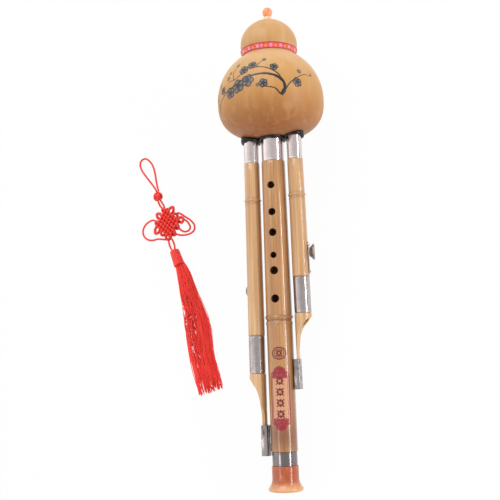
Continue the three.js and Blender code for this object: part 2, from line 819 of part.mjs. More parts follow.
// The clip's outline across the strip: a sleeve round it, with a foot towards the main pipe.
// Distances are from the drone's axis, outwards positive.
function clipReach(side) {
  const inner = -side.footRadius - fit;
  const outer = -stripFace(side) + fit;
  return { inner, outer, pipeSide: -side.footRadius - clipGap + 2 * fit };
}

function tailClip(side) {
  const { clipTop, clipFoot: foot } = droneHeights(side);
  const { inner, outer, pipeSide } = clipReach(side);
  const half = stripHalfWidth + fit + clipWall;
  const s = side.sign;
  const back = outer + clipWall;
  const front = inner - clipWall;
  const flange = clipFoot / 2;
  const outside = [
    [s * pipeSide, -flange],
    [s * front, -flange],
    [s * front, -half + clipCorner],
    [s * (front + clipCorner), -half],
    [s * (back - clipCorner / 2), -half],
    [s * back, -half + clipCorner],
    [s * back, half - clipCorner],
    [s * (back - clipCorner / 2), half],
    [s * (front + clipCorner), half],
    [s * front, half - clipCorner],
    [s * front, flange],
    [s * pipeSide, flange],
  ];
  const pocketHalf = stripHalfWidth + fit;
  const pocket = [
    [s * inner, -pocketHalf],
    [s * outer, -pocketHalf],
    [s * outer, pocketHalf],
    [s * inner, pocketHalf],
  ];
  const length = clipTop - foot;
  const body = plateOf(outside, length, pocket);
  body.rotateX(quarterTurn);
  body.translate(0, foot + length / 2, 0);
  let clip = solidOf(body);
  for (const share of crimpShares) {
    const radius = 2 * crimpDepth;
    const crimp = new THREE.CylinderGeometry(radius, radius, 2 * half + overrun, crimpSides);
    crimp.rotateX(quarterTurn);
    crimp.translate(s * (back + crimpDepth), foot + length * share, 0);
    clip = clip.subtract(solidOf(crimp));
  }
  return meshOf(`${side.name}_tail_clip`, clip.subtract(localPinHole(side)), dullSteel);
}

// The pin's axis in the drone's own frame: from outside the clip towards the main pipe
function pinLine(side) {
  const { clipTop, clipFoot: foot } = droneHeights(side);
  const height = foot + (clipTop - foot) * pinShare;
  const head = clipReach(side).outer + clipWall;
  const tip = -side.footRadius - clipGap - (mainFootRadius - mainBore) * pinReachShare;
  return { height, head, tip };
}

function localPinHole(side) {
  const { height, head, tip } = pinLine(side);
  const inward = new THREE.Vector3(-side.sign, 0, 0);
  const start = new THREE.Vector3(side.sign * (head + overrun), height, 0);
  return rod(start, inward, head - tip + overrun + fit, pinRadius + fit / 2, pinSides);
}

function pinHole(side) {
  const { height, head, tip } = pinLine(side);
  const inward = new THREE.Vector3(-side.sign, 0, 0);
  const length = head - tip + fit;
  const hole = new THREE.CylinderGeometry(pinRadius + fit / 2, pinRadius + fit / 2, length, pinSides);
  hole.rotateZ(quarterTurn);
  hole.translate(side.sign * (head - length / 2), height, 0);
  hole.applyMatrix4(droneFrame(side).matrix);
  return solidOf(hole);
}

// The turned outline of a pin or nail with a domed head, from its tip up
function domedPin(tip, seat, radius, headRadius, headHeight) {
  const dome = domeShares.map(([out, rise]) => [headRadius * out, seat + headHeight * rise]);
  return [[0, tip], [radius, tip], [radius, seat], ...dome];
}

function clipPin(side) {
  const { height, head, tip } = pinLine(side);
  const outline = domedPin(tip, head + fit / 2, pinRadius, pinHeadRadius, pinHeadHeight);
  const mesh = meshOf(`${side.name}_clip_pin`, turned(outline, pinSides), dullSteel);
  mesh.rotation.z = -side.sign * quarterTurn;
  mesh.position.y = height;
  return mesh;
}

// The nails' places along the plate, counted from the stopper
function nailRises() {
  const foot = -plateLength * plateStopperShare + nailInset;
  const top = plateLength * (1 - plateStopperShare) - nailInset;
  return [top, foot];
}

// A group whose Y axis points out of the drone pipe along the stopper's stem
function stopperFrame(side) {
  const { height, direction } = stopperPlace(side);
  const group = new THREE.Group();
  const alongPipe = new THREE.Vector3(0, 1, 0);
  const across = new THREE.Vector3().crossVectors(direction, alongPipe);
  group.quaternion.setFromRotationMatrix(new THREE.Matrix4().makeBasis(across, direction, alongPipe));
  group.position.set(0, height, 0);
  return group;
}

function stopperPlate(side) {
  const [top, foot] = [plateLength * (1 - plateStopperShare), -plateLength * plateStopperShare];
  const seat = side.footRadius;
  let plate = block(
    new THREE.Vector3(-plateWidth / 2, seat, foot),
    new THREE.Vector3(plateWidth / 2, seat + plateThickness, top),
  );
  const out = new THREE.Vector3(0, 1, 0);
  plate = plate.subtract(rod(new THREE.Vector3(), out, seat + overrun, plugRadius + fit, holeSides));
  for (const rise of nailRises()) {
    const start = new THREE.Vector3(0, 0, rise);
    plate = plate.subtract(rod(start, out, seat + overrun, nailRadius + fit / 2, pinSides));
  }
  return meshOf(`${side.name}_stopper_plate`, plate, polishedSteel);
}

function droneStopper(side) {
  const base = side.footRadius + plateThickness + fit;
  const top = base + knobHeight;
  const tip = sideBore - plugReach;
  const cone = knobConeShares.map(([out, rise]) => [
    knobNeck + (knobRadius - knobNeck) * out,
    base + knobHeight * rise,
  ]);
  const rim = knobRimShares.map((share) => [knobRadius, top - knobRim * share]);
  const outline = [
    [0, tip],
    [plugRadius - fit, tip],
    [plugRadius, tip + fit],
    [plugRadius, base],
    ...cone,
    [knobRadius - fit, top - knobRim],
    ...rim,
    [knobRadius - fit, top],
    [0, top + knobCrown],
  ];
  return meshOf(`${side.name}_drone_stopper`, turned(outline, knobSides), polishedSteel);
}

function plateNail(side, label, rise) {
  const seat = side.footRadius + plateThickness + fit / 2;
  const tip = side.footRadius - nailReach;
  const outline = domedPin(tip, seat, nailRadius, nailHeadRadius, nailHeadHeight);
  const mesh = meshOf(`${side.name}_plate_nail_${label}`, turned(outline, pinSides), polishedSteel);
  mesh.position.z = rise;
  return mesh;
}

function dronePieces(side) {
  const group = droneFrame(side);
  group.add(dronePipe(side), droneFerrule(side), droneSleeve(side));
  group.add(droneTail(side), tailClip(side), clipPin(side));
  const reedName = `${side.name}_reed_plate`;
  group.add(reedPlate(reedName, sideTenon, sideTopBore, sideReedLength, sideReedWidth));
  const stopper = stopperFrame(side);
  const [upper, lower] = nailRises();
  stopper.add(stopperPlate(side), droneStopper(side));
  stopper.add(plateNail(side, 'upper', upper), plateNail(side, 'lower', lower));
  group.add(stopper);
  return group;
}

// The instrument's slope on the table, at which both its bulb and its bell's rim touch it
function restingSlope(high, low) {
  const lowest = (mesh, slope) => {
    const points = mesh.geometry.getAttribute('position');
    let least = Infinity;
    for (let i = 0; i < points.count; i += 1) {
      least = Math.min(least, points.getY(i) * Math.sin(slope) + points.getZ(i) * Math.cos(slope));
    }
    return least;
  };
  let [from, to] = [0, quarterTurn / 2];
  for (let i = 0; i < slopeSteps; i += 1) {
    const slope = (from + to) / 2;
    if (lowest(high, slope) < lowest(low, slope)) from = slope;
    else to = slope;
  }
  return (from + to) / 2;
}

// A closed tube of a regular section along a smooth line, in steps of about the given length
function tubeAlong(points, diameter, sides, step) {
  const curve = new THREE.CatmullRomCurve3(points, false, 'centripetal');
  curve.arcLengthDivisions = points.length * cordLengthSteps;
  const section = new THREE.Shape();
  for (let i = 0; i < sides; i += 1) {
    const turn = (fullTurn * (i + 1 / 2)) / sides;
    const [x, y] = [(diameter / 2) * Math.cos(turn), (diameter / 2) * Math.sin(turn)];
    if (i === 0) section.moveTo(x, y);
    else section.lineTo(x, y);
  }
  const steps = Math.max(2, Math.round(curve.getLength() / step));
  const geometry = new THREE.ExtrudeGeometry(section, { steps, bevelEnabled: false, extrudePath: curve });
  return { geometry, curve };
}

// The least distance between the surfaces of a cord's own strands, measured on points along its
// middle that lie some diameters apart along the cord
function leastGap(curve, diameter) {
  const apart = gapSteps * gapStartShare;
  const points = curve.getSpacedPoints(Math.ceil((curve.getLength() * gapSteps) / diameter));
  let least = Infinity;
  for (let i = 0; i < points.length; i += 1) {
    for (let j = i + apart; j < points.length; j += 1) {
      least = Math.min(least, points[i].distanceTo(points[j]));
    }
  }
  return least - diameter;
}

function cordPiece(name, route) {
  const points = route.map(([x, y, z]) => new THREE.Vector3(x, y, z));
  const { geometry, curve } = tubeAlong(points, cordDiameter, cordSides, cordDiameter * cordStepShare);
  console.log(`${name}: ${curve.getLength().toFixed(0)} mm of cord`);
  return meshOf(name, solidOf(geometry), cordRed);
}

// The endless knot's single cord: it runs to and fro across the knot, turns the right corner and
// runs to and fro the other way, over and under itself in turn. Its small loops stand out of the
// upper edges and the side corners. P and Q are the directions of its lines, drawn in towards the
// knot's length, X.
function knotRoute() {
  const last = knotLines - 1;
  const half = knotPitch / 2;
  const lineAt = (line) => (line - last / 2) * knotPitch;
  const edge = lineAt(last) + knotPitch * knotEdgeShare;
  const loopEnd = edge + knotPitch * knotReachShare;
  const route = [];
  const addAcross = (p, q, z) => {
    const lengthwise = (p + q) * Math.cos(knotNarrowing);
    const sideways = (q - p) * Math.sin(knotNarrowing);
    route.push(new THREE.Vector3(lengthwise, sideways, z));
  };
  const addAlong = (q, p, z) => addAcross(p, q, z);
  const bend = (place, line, end, z, looped) => {
    const middle = lineAt(line) + half;
    place(middle - half, end * edge, z);
    if (looped) {
      place(middle - half * knotLoopShare, (end * (edge + loopEnd)) / 2, 0);
      place(middle, end * (loopEnd + half / 2), 0);
      place(middle + half * knotLoopShare, (end * (edge + loopEnd)) / 2, 0);
    } else {
      place(middle, end * (edge + half), 0);
    }
    place(middle + half, end * edge, -z);
  };
  const weave = (place, firstWay, firstLift, loopedLines) => {
    const liftAt = (line, crossed) => ((line + crossed) % 2 === 0 ? firstLift : -firstLift);
    for (let line = 0; line <= last; line += 1) {
      const way = line % 2 === 0 ? firstWay : -firstWay;
      for (let i = 0; i <= last; i += 1) {
        const crossed = way > 0 ? i : last - i;
        place(lineAt(line), lineAt(crossed), liftAt(line, crossed));
      }
      const sag = liftAt(line, way > 0 ? last : 0) * knotSagShare;
      if (line < last) bend(place, line, way, sag, loopedLines.includes(line));
    }
  };
  const corner = edge + knotPitch * knotCornerShare;
  const turnIn = half / 2;
  const sag = knotLift * knotSagShare;
  addAcross(lineAt(0), -edge, sag);
  weave(addAcross, 1, knotLift, [2]);
  addAcross(lineAt(last), -edge, -sag);
  addAcross(lineAt(last) + turnIn, -corner, 0);
  addAcross(corner, -corner, 0);
  addAcross(corner, lineAt(0) - turnIn, 0);
  addAcross(edge, lineAt(0), sag);
  weave(addAlong, -1, -knotLift, [3, 4]);
  addAcross(edge, lineAt(last), -sag);
  return route;
}

function endlessKnot() {
  const step = knotCord * knotStepShare;
  const { geometry, curve } = tubeAlong(knotRoute(), knotCord, knotSides, step);
  console.log(`tassel_endless_knot: ${curve.getLength().toFixed(0)} mm of cord, least gap to itself `
    + `${leastGap(curve, knotCord).toFixed(2)} mm`);
  const mesh = meshOf('tassel_endless_knot', solidOf(geometry), cordRed);
  mesh.rotation.z = knotAngle;
  mesh.position.copy(knotPlace);
  mesh.position.z = knotLift + knotCord / 2 + layGap;
  return mesh;
}

function buttonKnot() {
  const outline = [];
  for (let i = 0; i <= buttonSteps; i += 1) {
    const turn = (Math.PI * i) / buttonSteps;
    const radius = i % buttonSteps === 0 ? 0 : buttonRadius * Math.sin(turn);
    outline.push([radius, -buttonRadius * buttonLengthShare * Math.cos(turn)]);
  }
  const mesh = meshOf('tassel_button_knot', turned(outline, buttonSides), cordRed);
  mesh.rotation.z = headAngle;
  mesh.position.copy(buttonPlace);
  return mesh;
}

function headWrap() {
  const [topShare, edgeShare] = headTopShares;
  const outline = [
    [0, 0],
    [headRadius * topShare, 0],
    [headRadius, -headLength * edgeShare],
    [headRadius + headFlare, -headLength],
    [0, -headLength],
  ];
  const mesh = meshOf('tassel_head_wrap', turned(outline, headSides), cordRed);
  mesh.rotation.z = headAngle;
  mesh.position.copy(headPlace);
  mesh.position.z = headRadius + headFlare;
  return mesh;
}

// The fringe as one lobed body that spreads and thins towards its cut end, flat on the table
function fringeBody() {
  const points = [];
  const corners = [];
  const line = fringeLine.map(([x, y]) => new THREE.Vector3(x, y, 0));
  const curve = new THREE.CatmullRomCurve3(line, false, 'centripetal');
  const count = line.length;
  for (let i = 0; i < count; i += 1) {
    const forward = line[Math.min(i + 1, count - 1)].clone().sub(line[Math.max(i - 1, 0)]).normalize();
    const across = new THREE.Vector3(-forward.y, forward.x, 0);
    for (let k = 0; k < fringeSides; k += 1) {
      const turn = (fullTurn * (k + 1 / 2)) / fringeSides;
      const lobe = 1 + fringeLobeShare * Math.cos(fringeLobes * turn + i);
      const rise = (fringeHeights[i] / 2) * (1 + Math.sin(turn) * lobe);
      const place = line[i].clone().addScaledVector(across, fringeHalfWidths[i] * Math.cos(turn) * lobe);
      points.push(place.x, place.y, Math.max(rise - tableCut, 0));
    }
  }
  for (let i = 0; i + 1 < count; i += 1) {
    for (let k = 0; k < fringeSides; k += 1) {
      const next = (k + 1) % fringeSides;
      const [a, b] = [i * fringeSides + k, i * fringeSides + next];
      corners.push(a, b, a + fringeSides, b, b + fringeSides, a + fringeSides);
    }
  }
  for (const [end, way] of [[0, 1], [count - 1, -1]]) {
    const hub = points.length / 3;
    points.push(line[end].x, line[end].y, Math.max(fringeHeights[end] / 2 - tableCut, 0));
    for (let k = 0; k < fringeSides; k += 1) {
      const [a, b] = [end * fringeSides + k, end * fringeSides + ((k + 1) % fringeSides)];
      if (way > 0) corners.push(hub, b, a);
      else corners.push(hub, a, b);
    }
  }
  const geometry = new THREE.BufferGeometry();
  geometry.setAttribute('position', new THREE.BufferAttribute(new Float32Array(points), 3));
  geometry.setIndex(corners);
  console.log(`tassel_fringe: ${curve.getLength().toFixed(0)} mm long`);
  return meshOf('tassel_fringe', solidOf(geometry), cordRed);
}

function tasselPieces() {
  const tassel = new THREE.Group();
  tassel.add(
    cordPiece('tassel_hanging_loop', hangingLoopRoute),
    buttonKnot(),
    cordPiece('tassel_neck_cord_left', neckLeftRoute),
    cordPiece('tassel_neck_cord_right', neckRightRoute),
    endlessKnot(),
    cordPiece('tassel_left_ear', leftEarRoute),
    cordPiece('tassel_right_ear', rightEarRoute),
    cordPiece('tassel_right_inner_ear', rightInnerEarRoute),
    cordPiece('tassel_tail_cord_left', tailLeftRoute),
    cordPiece('tassel_tail_cord_right', tailRightRoute),
    headWrap(),
    fringeBody(),
  );
  return tassel;
}

const gourd = gourdShell();
const bell = footBell();
const instrument = new THREE.Group();
instrument.add(
  gourd,
  waistRibbon(),
  mouthpieceTube(),
  mouthStopper(),
  pipeSeal(),
  mainPipe(),
  mainFerrule(),
  reedPlate('main_reed_plate', mainTenon, mainTopBore, mainReedLength, mainReedWidth),
  footFerrule(),
  bell,
  dronePieces(leftPipe),
  dronePieces(rightPipe),
);
instrument.rotation.x = restingSlope(gourd, bell);
instrument.updateMatrixWorld(true);
const bounds = new THREE.Box3().setFromObject(instrument, true);
const middle = bounds.getCenter(new THREE.Vector3());
instrument.position.set(-middle.x, -middle.y, -bounds.min.z);
instrument.updateMatrixWorld(true);

const hulusi = new THREE.Group();
hulusi.add(instrument, tasselPieces());

export default hulusi;
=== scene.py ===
"""Dresses a hulusi, a gourd flute with two drone pipes and a red knotted tassel, for its picture.

Sizes are in millimetres and turn into metres where a mesh is made. The instrument's own axis is Y,
with its foot at zero and its finger holes towards Z.
"""

import json
import logging
import math
from collections.abc import Callable, Sequence
from dataclasses import dataclass, field
from enum import Enum

import bmesh
import bpy
import numpy as np
from mathutils import Matrix, Vector

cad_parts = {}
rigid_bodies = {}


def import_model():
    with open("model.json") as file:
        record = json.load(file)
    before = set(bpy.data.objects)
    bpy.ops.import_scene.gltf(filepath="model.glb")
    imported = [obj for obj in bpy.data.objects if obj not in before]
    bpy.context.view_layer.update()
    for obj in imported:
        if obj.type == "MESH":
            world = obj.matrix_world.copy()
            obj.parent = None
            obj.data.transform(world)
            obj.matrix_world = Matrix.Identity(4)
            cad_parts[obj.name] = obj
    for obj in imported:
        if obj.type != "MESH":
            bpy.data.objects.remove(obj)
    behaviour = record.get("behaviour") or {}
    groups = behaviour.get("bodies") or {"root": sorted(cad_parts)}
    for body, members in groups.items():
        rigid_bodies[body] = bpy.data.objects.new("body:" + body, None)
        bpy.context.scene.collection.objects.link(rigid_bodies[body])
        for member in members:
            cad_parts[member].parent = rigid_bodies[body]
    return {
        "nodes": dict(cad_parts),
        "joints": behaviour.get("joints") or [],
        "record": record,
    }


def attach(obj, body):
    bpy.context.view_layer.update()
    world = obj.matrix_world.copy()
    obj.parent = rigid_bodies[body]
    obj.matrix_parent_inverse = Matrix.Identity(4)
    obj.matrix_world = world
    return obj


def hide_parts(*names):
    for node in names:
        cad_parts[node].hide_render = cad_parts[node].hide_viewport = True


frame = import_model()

LOG = logging.getLogger("hulusi")
MM = 0.001
FULL_TURN = 2 * math.pi
CREASE = 35
WELD = 2e-7
Outline = list[tuple[float, float]]
Colour = tuple[float, float, float]
Triple = tuple[float, float, float]
Socket = bpy.types.NodeSocket
Value = Socket | float


class Body(Enum):
    """The moving bodies that pieces ride on."""

    INSTRUMENT = "instrument"
    MOUTH_STOPPER = "mouth_stopper"
    LEFT_STOPPER = "left_stopper"
    RIGHT_STOPPER = "right_stopper"
    TASSEL = "tassel"


class Cutting(Enum):
    """What a cutter does to the piece under it."""

    TAKE_AWAY = "DIFFERENCE"
    KEEP_INSIDE = "INTERSECT"


# Shapes


@dataclass
class Shape:
    """Corners, faces and surface places of one piece, in millimetres."""

    corners: np.ndarray
    faces: np.ndarray
    places: np.ndarray

    @classmethod
    def grid(cls, points: np.ndarray, places: np.ndarray | None = None, closed: bool = False) -> "Shape":
        """A sheet of four-sided faces.

        Args:
            points: Rows and columns of points.
            places: The two surface coordinates of each point. Without them all are zero.
            closed: Whether the last column is brought onto the first.

        Returns:
            The sheet as a shape.
        """
        rows, columns = points.shape[:2]
        if places is None:
            places = np.zeros((rows, columns, 2))
        if closed:
            points[:, -1] = points[:, 0]
        index = np.arange(rows * columns).reshape(rows, columns)
        quads = np.stack([index[:-1, :-1], index[:-1, 1:], index[1:, 1:], index[1:, :-1]], axis=-1)
        return cls(points.reshape(-1, 3), quads.reshape(-1, 4), places.reshape(-1, 2))

    def moved(self, matrix: Matrix) -> "Shape":
        """The shape put through a matrix whose shift is in millimetres."""
        turned_points = self.corners @ np.array(matrix.to_3x3()).T + np.array(matrix.translation)
        return Shape(turned_points, self.faces, self.places)

    @staticmethod
    def joined(shapes: Sequence["Shape"]) -> "Shape":
        """Several shapes as one.

        Args:
            shapes: The shapes, which keep their order.

        Returns:
            One shape with all their faces.
        """
        starts = np.cumsum([0] + [len(shape.corners) for shape in shapes[:-1]])
        faces = np.vstack([shape.faces + start for shape, start in zip(shapes, starts)])
        corners = np.vstack([shape.corners for shape in shapes])
        return Shape(corners, faces, np.vstack([shape.places for shape in shapes]))

    def piece(self, name: str, matrix: Matrix, finishes: Sequence["Finish"],
              crease: float = CREASE) -> bpy.types.Object:
        """Makes the Blender object.

        Args:
            name: The piece's name.
            matrix: Its place in the row frame, in metres.
            finishes: The finishes of its material slots.
            crease: The angle in degrees above which an edge stays sharp.

        Returns:
            The new object, linked to the scene.
        """
        mesh = bpy.data.meshes.new(name)
        mesh.from_pydata((self.corners * MM).tolist(), [], self.faces.tolist())
        layer = mesh.uv_layers.new(name="Place")
        loops = np.empty(len(mesh.loops), dtype=np.int32)
        mesh.loops.foreach_get("vertex_index", loops)
        layer.data.foreach_set("uv", self.places[loops].ravel().astype(np.float32))
        tidy = bmesh.new()
        tidy.from_mesh(mesh)
        bmesh.ops.remove_doubles(tidy, verts=tidy.verts, dist=WELD)
        bmesh.ops.recalc_face_normals(tidy, faces=tidy.faces)
        tidy.to_mesh(mesh)
        tidy.free()
        for each in finishes:
            mesh.materials.append(each.material())
        thing = bpy.data.objects.new(name, mesh)
        bpy.context.scene.collection.objects.link(thing)
        thing.matrix_world = matrix
        smooth(thing, crease)
        return thing


def smooth(thing: bpy.types.Object, crease: float) -> None:
    """Shades an object smooth but for edges sharper than the crease angle in degrees."""
    thing.data.shade_smooth()
    thing.data.set_sharp_from_angle(angle=math.radians(crease))


def softened(outline: Outline, reach: float, steps: int = 3, most_share: float = 0.45) -> Outline:
    """Rounds the corners of an outline.

    Args:
        outline: Pairs of coordinates. It is closed where its ends meet.
        reach: How far from each corner the rounding starts, at most.
        steps: How many faces each rounding has.
        most_share: The share of a side that a rounding may take.

    Returns:
        The longer outline.
    """
    points = [np.array(point, float) for point in outline]
    closed = np.allclose(points[0], points[-1])
    ring = points[:-1] if closed else points
    count = len(ring)
    soft: Outline = []
    for i, corner in enumerate(ring):
        if not closed and i in (0, count - 1):
            soft.append(tuple(corner))
            continue
        before, after = ring[i - 1], ring[(i + 1) % count]
        into, away = before - corner, after - corner
        longest = most_share * min(np.linalg.norm(into), np.linalg.norm(away))
        cut = min(reach, longest)
        start = corner + into / np.linalg.norm(into) * cut
        end = corner + away / np.linalg.norm(away) * cut
        for step in range(steps + 1):
            share = step / steps
            point = (1 - share) ** 2 * start + 2 * share * (1 - share) * corner + share**2 * end
            soft.append(tuple(point))
    if closed:
        soft.append(soft[0])
    return soft


def turned(outline: Outline, sides: int,
           waver: Callable[[np.ndarray, np.ndarray], np.ndarray] | None = None) -> Shape:
    """Turns an outline about the Y axis.

    Args:
        outline: Pairs of radius and height.
        sides: Faces round the axis.
        waver: What is added to the radius, from the angle and the height.

    Returns:
        The turned shape. Its places are arc and outline length in millimetres.
    """
    pairs = np.array(outline, float)
    turn = np.linspace(0, FULL_TURN, sides + 1)
    radius = np.repeat(pairs[:, :1], sides + 1, axis=1)
    height = np.repeat(pairs[:, 1:], sides + 1, axis=1)
    angle = np.repeat(turn[None, :], len(pairs), axis=0)
    if waver is not None:
        radius = np.where(radius > 0, radius + waver(angle, height), radius)
    points = np.stack([radius * np.sin(angle), height, radius * np.cos(angle)], axis=-1)
    run = np.concatenate([[0], np.cumsum(np.linalg.norm(np.diff(pairs, axis=0), axis=1))])
    arc = angle * pairs[:, 0].max()
    places = np.stack([arc, np.repeat(run[:, None], sides + 1, axis=1)], axis=-1)
    return Shape.grid(points, places, closed=True)


def rod(radius: float, foot: float, top: float, sides: int) -> Shape:
    """A plain solid rod about the Y axis, which the cutters are made of."""
    return turned([(0, foot), (radius, foot), (radius, top), (0, top)], sides)


def smooth_line(points: Sequence[Sequence[float]], step: float, fineness: int = 24) -> np.ndarray:
    """A smooth centripetal line through points, sampled at even steps.

    Args:
        points: The points that it passes through.
        step: The distance between samples.
        fineness: How many points it is worked out at between two of the given ones.

    Returns:
        The samples, one row each.
    """
    known = np.array(points, float)
    known = np.vstack([2 * known[0] - known[1], known, 2 * known[-1] - known[-2]])
    fine = []
    for i in range(1, len(known) - 2):
        before, start, end, after = known[i - 1 : i + 3]
        first, middle, last = (max(np.linalg.norm(b - a) ** 0.5, 1e-6)
                               for a, b in ((before, start), (start, end), (end, after)))
        leave = (start - before) / first - (end - before) / (first + middle) + (end - start) / middle
        arrive = (end - start) / middle - (after - start) / (middle + last) + (after - end) / last
        leave, arrive = leave * middle, arrive * middle
        for t in np.linspace(0, 1, fineness, endpoint=False):
            bend = (3 * (end - start) - 2 * leave - arrive) * (t * t)
            fine.append(start + leave * t + bend + (2 * (start - end) + leave + arrive) * t**3)
    fine.append(known[-2])
    return evenly(np.array(fine), step)


def evenly(line: np.ndarray, step: float) -> np.ndarray:
    """The same line with its points at even steps.

    Args:
        line: The line's points.
        step: About how far apart the new points lie.

    Returns:
        The new points, three at least.
    """
    run = np.concatenate([[0], np.cumsum(np.linalg.norm(np.diff(line, axis=0), axis=1))])
    wanted = np.linspace(0, run[-1], max(3, round(run[-1] / step) + 1))
    return np.stack([np.interp(wanted, run, line[:, k]) for k in range(line.shape[1])], axis=-1)


def tube(line: np.ndarray, radius: float | np.ndarray, sides: int) -> Shape:
    """A round tube with domed ends along a line.

    Args:
        line: The points of its middle.
        radius: Its radius, or one radius for each point.
        sides: Faces round it.

    Returns:
        The tube. Its places are arc and length in millimetres.
    """
    radii = np.broadcast_to(np.asarray(radius, float), (len(line),)).copy()
    along = np.gradient(line, axis=0)
    along /= np.linalg.norm(along, axis=1, keepdims=True)
    side = np.cross(along[0], (0.0, 0.0, 1.0))
    if np.linalg.norm(side) < 1e-3:
        side = np.cross(along[0], (1.0, 0.0, 0.0))
    sideways = []
    for way in along:
        side = side - way * np.dot(side, way)
        side /= np.linalg.norm(side)
        sideways.append(side)
    across = np.array(sideways)
    up = np.cross(along, across)
    dome = ((1.0, 0.0), (0.8, 0.55), (0.45, 0.85))
    before = [line[:1] - along[:1] * radii[0] * 0.6 * out for out, _ in dome]
    beyond = [line[-1:] + along[-1:] * radii[-1] * 0.6 * out for out, _ in reversed(dome)]
    middle = np.vstack([*before, line, *beyond])
    wide = [radii[0] * w for _, w in dome], radii, [radii[-1] * w for _, w in reversed(dome)]
    wide = np.concatenate(wide)
    repeats = [1 + len(dome)] + [1] * (len(line) - 2) + [1 + len(dome)]
    across, up = np.repeat(across, repeats, axis=0), np.repeat(up, repeats, axis=0)
    turn = np.linspace(0, FULL_TURN, sides + 1)
    ring = across[:, None] * np.cos(turn)[None, :, None] + up[:, None] * np.sin(turn)[None, :, None]
    points = middle[:, None] + ring * wide[:, None, None]
    run = np.concatenate([[0], np.cumsum(np.linalg.norm(np.diff(middle, axis=0), axis=1))])
    arc = np.repeat((turn * radii.mean())[None, :], len(middle), axis=0)
    places = np.stack([arc, np.repeat(run[:, None], sides + 1, axis=1)], axis=-1)
    return Shape.grid(points, places, closed=True)


def prism(outline: Outline, low: float, high: float, middle: tuple[float, float] | None = None) -> np.ndarray:
    """The points of a closed prism over an outline, made of a grid and two fans.

    Args:
        outline: Pairs of coordinates, without the first one again at its end.
        low: The level of one end.
        high: The level of the other end.
        middle: Where the fans meet. Without it, it is the middle of the outline's points.

    Returns:
        Four rings of points, each the outline's two coordinates and the level.
    """
    ring = np.array(outline + outline[:1], float)
    hub = ring[:-1].mean(axis=0) if middle is None else np.array(middle)
    rings = []
    for level, share in ((low, 0.0), (low, 1.0), (high, 1.0), (high, 0.0)):
        rings.append(np.column_stack([hub + (ring - hub) * share, np.full(len(ring), level)]))
    return np.array(rings)


def drawn_out(outline: Outline, foot: float, top: float) -> Shape:
    """A closed prism along Y over an outline in X and Z.

    Args:
        outline: Pairs of X and Z.
        foot: The height of its foot.
        top: The height of its top.

    Returns:
        The prism as a shape.
    """
    points = prism(outline, foot, top)[..., [0, 2, 1]]
    return Shape.grid(points, np.stack([points[..., 0] + points[..., 2], points[..., 1]], axis=-1))


def cut(thing: bpy.types.Object, cutters: Sequence[bpy.types.Object], way: Cutting,
        crease: float = CREASE) -> None:
    """Cuts a piece with other objects, which are removed.

    Args:
        thing: The piece.
        cutters: The cutting objects.
        way: Whether they take away what they cover or keep it.
        crease: The angle in degrees above which an edge stays sharp.
    """
    for cutter in cutters:
        change = thing.modifiers.new("cut", "BOOLEAN")
        change.operation = way.value
        change.solver = "EXACT"
        change.material_mode = "TRANSFER"
        change.object = cutter
    apply_changes(thing)
    for cutter in cutters:
        bpy.data.objects.remove(cutter)
    smooth(thing, crease)


def bevelled(thing: bpy.types.Object, width: float, angle: float = 40, crease: float = CREASE) -> None:
    """Rounds the sharp edges of a piece.

    Args:
        thing: The piece.
        width: The rounding's width in millimetres.
        angle: The angle in degrees above which an edge is rounded.
        crease: The angle in degrees above which an edge stays sharp.
    """
    change = thing.modifiers.new("edges", "BEVEL")
    change.width = width * MM
    change.segments = 2
    change.limit_method = "ANGLE"
    change.angle_limit = math.radians(angle)
    change.use_clamp_overlap = True
    apply_changes(thing)
    smooth(thing, crease)


def apply_changes(thing: bpy.types.Object) -> None:
    """Applies an object's modifiers to its mesh.

    Args:
        thing: The object, which gets a new mesh.
    """
    bpy.context.view_layer.update()
    seen = thing.evaluated_get(bpy.context.evaluated_depsgraph_get())
    fresh = bpy.data.meshes.new_from_object(seen)
    fresh.name = thing.name
    thing.modifiers.clear()
    thing.data = fresh


# Finishes


def linear(colour: Colour) -> tuple[float, float, float, float]:
    """A colour as Blender's sockets take it.

    Args:
        colour: Its channels from 0 to 255, as a screen shows them.

    Returns:
        Its linear channels and a full fourth one.
    """
    channels = [c / 255 for c in colour]
    return (*(c / 12.92 if c <= 0.04045 else ((c + 0.055) / 1.055) ** 2.4 for c in channels), 1.0)


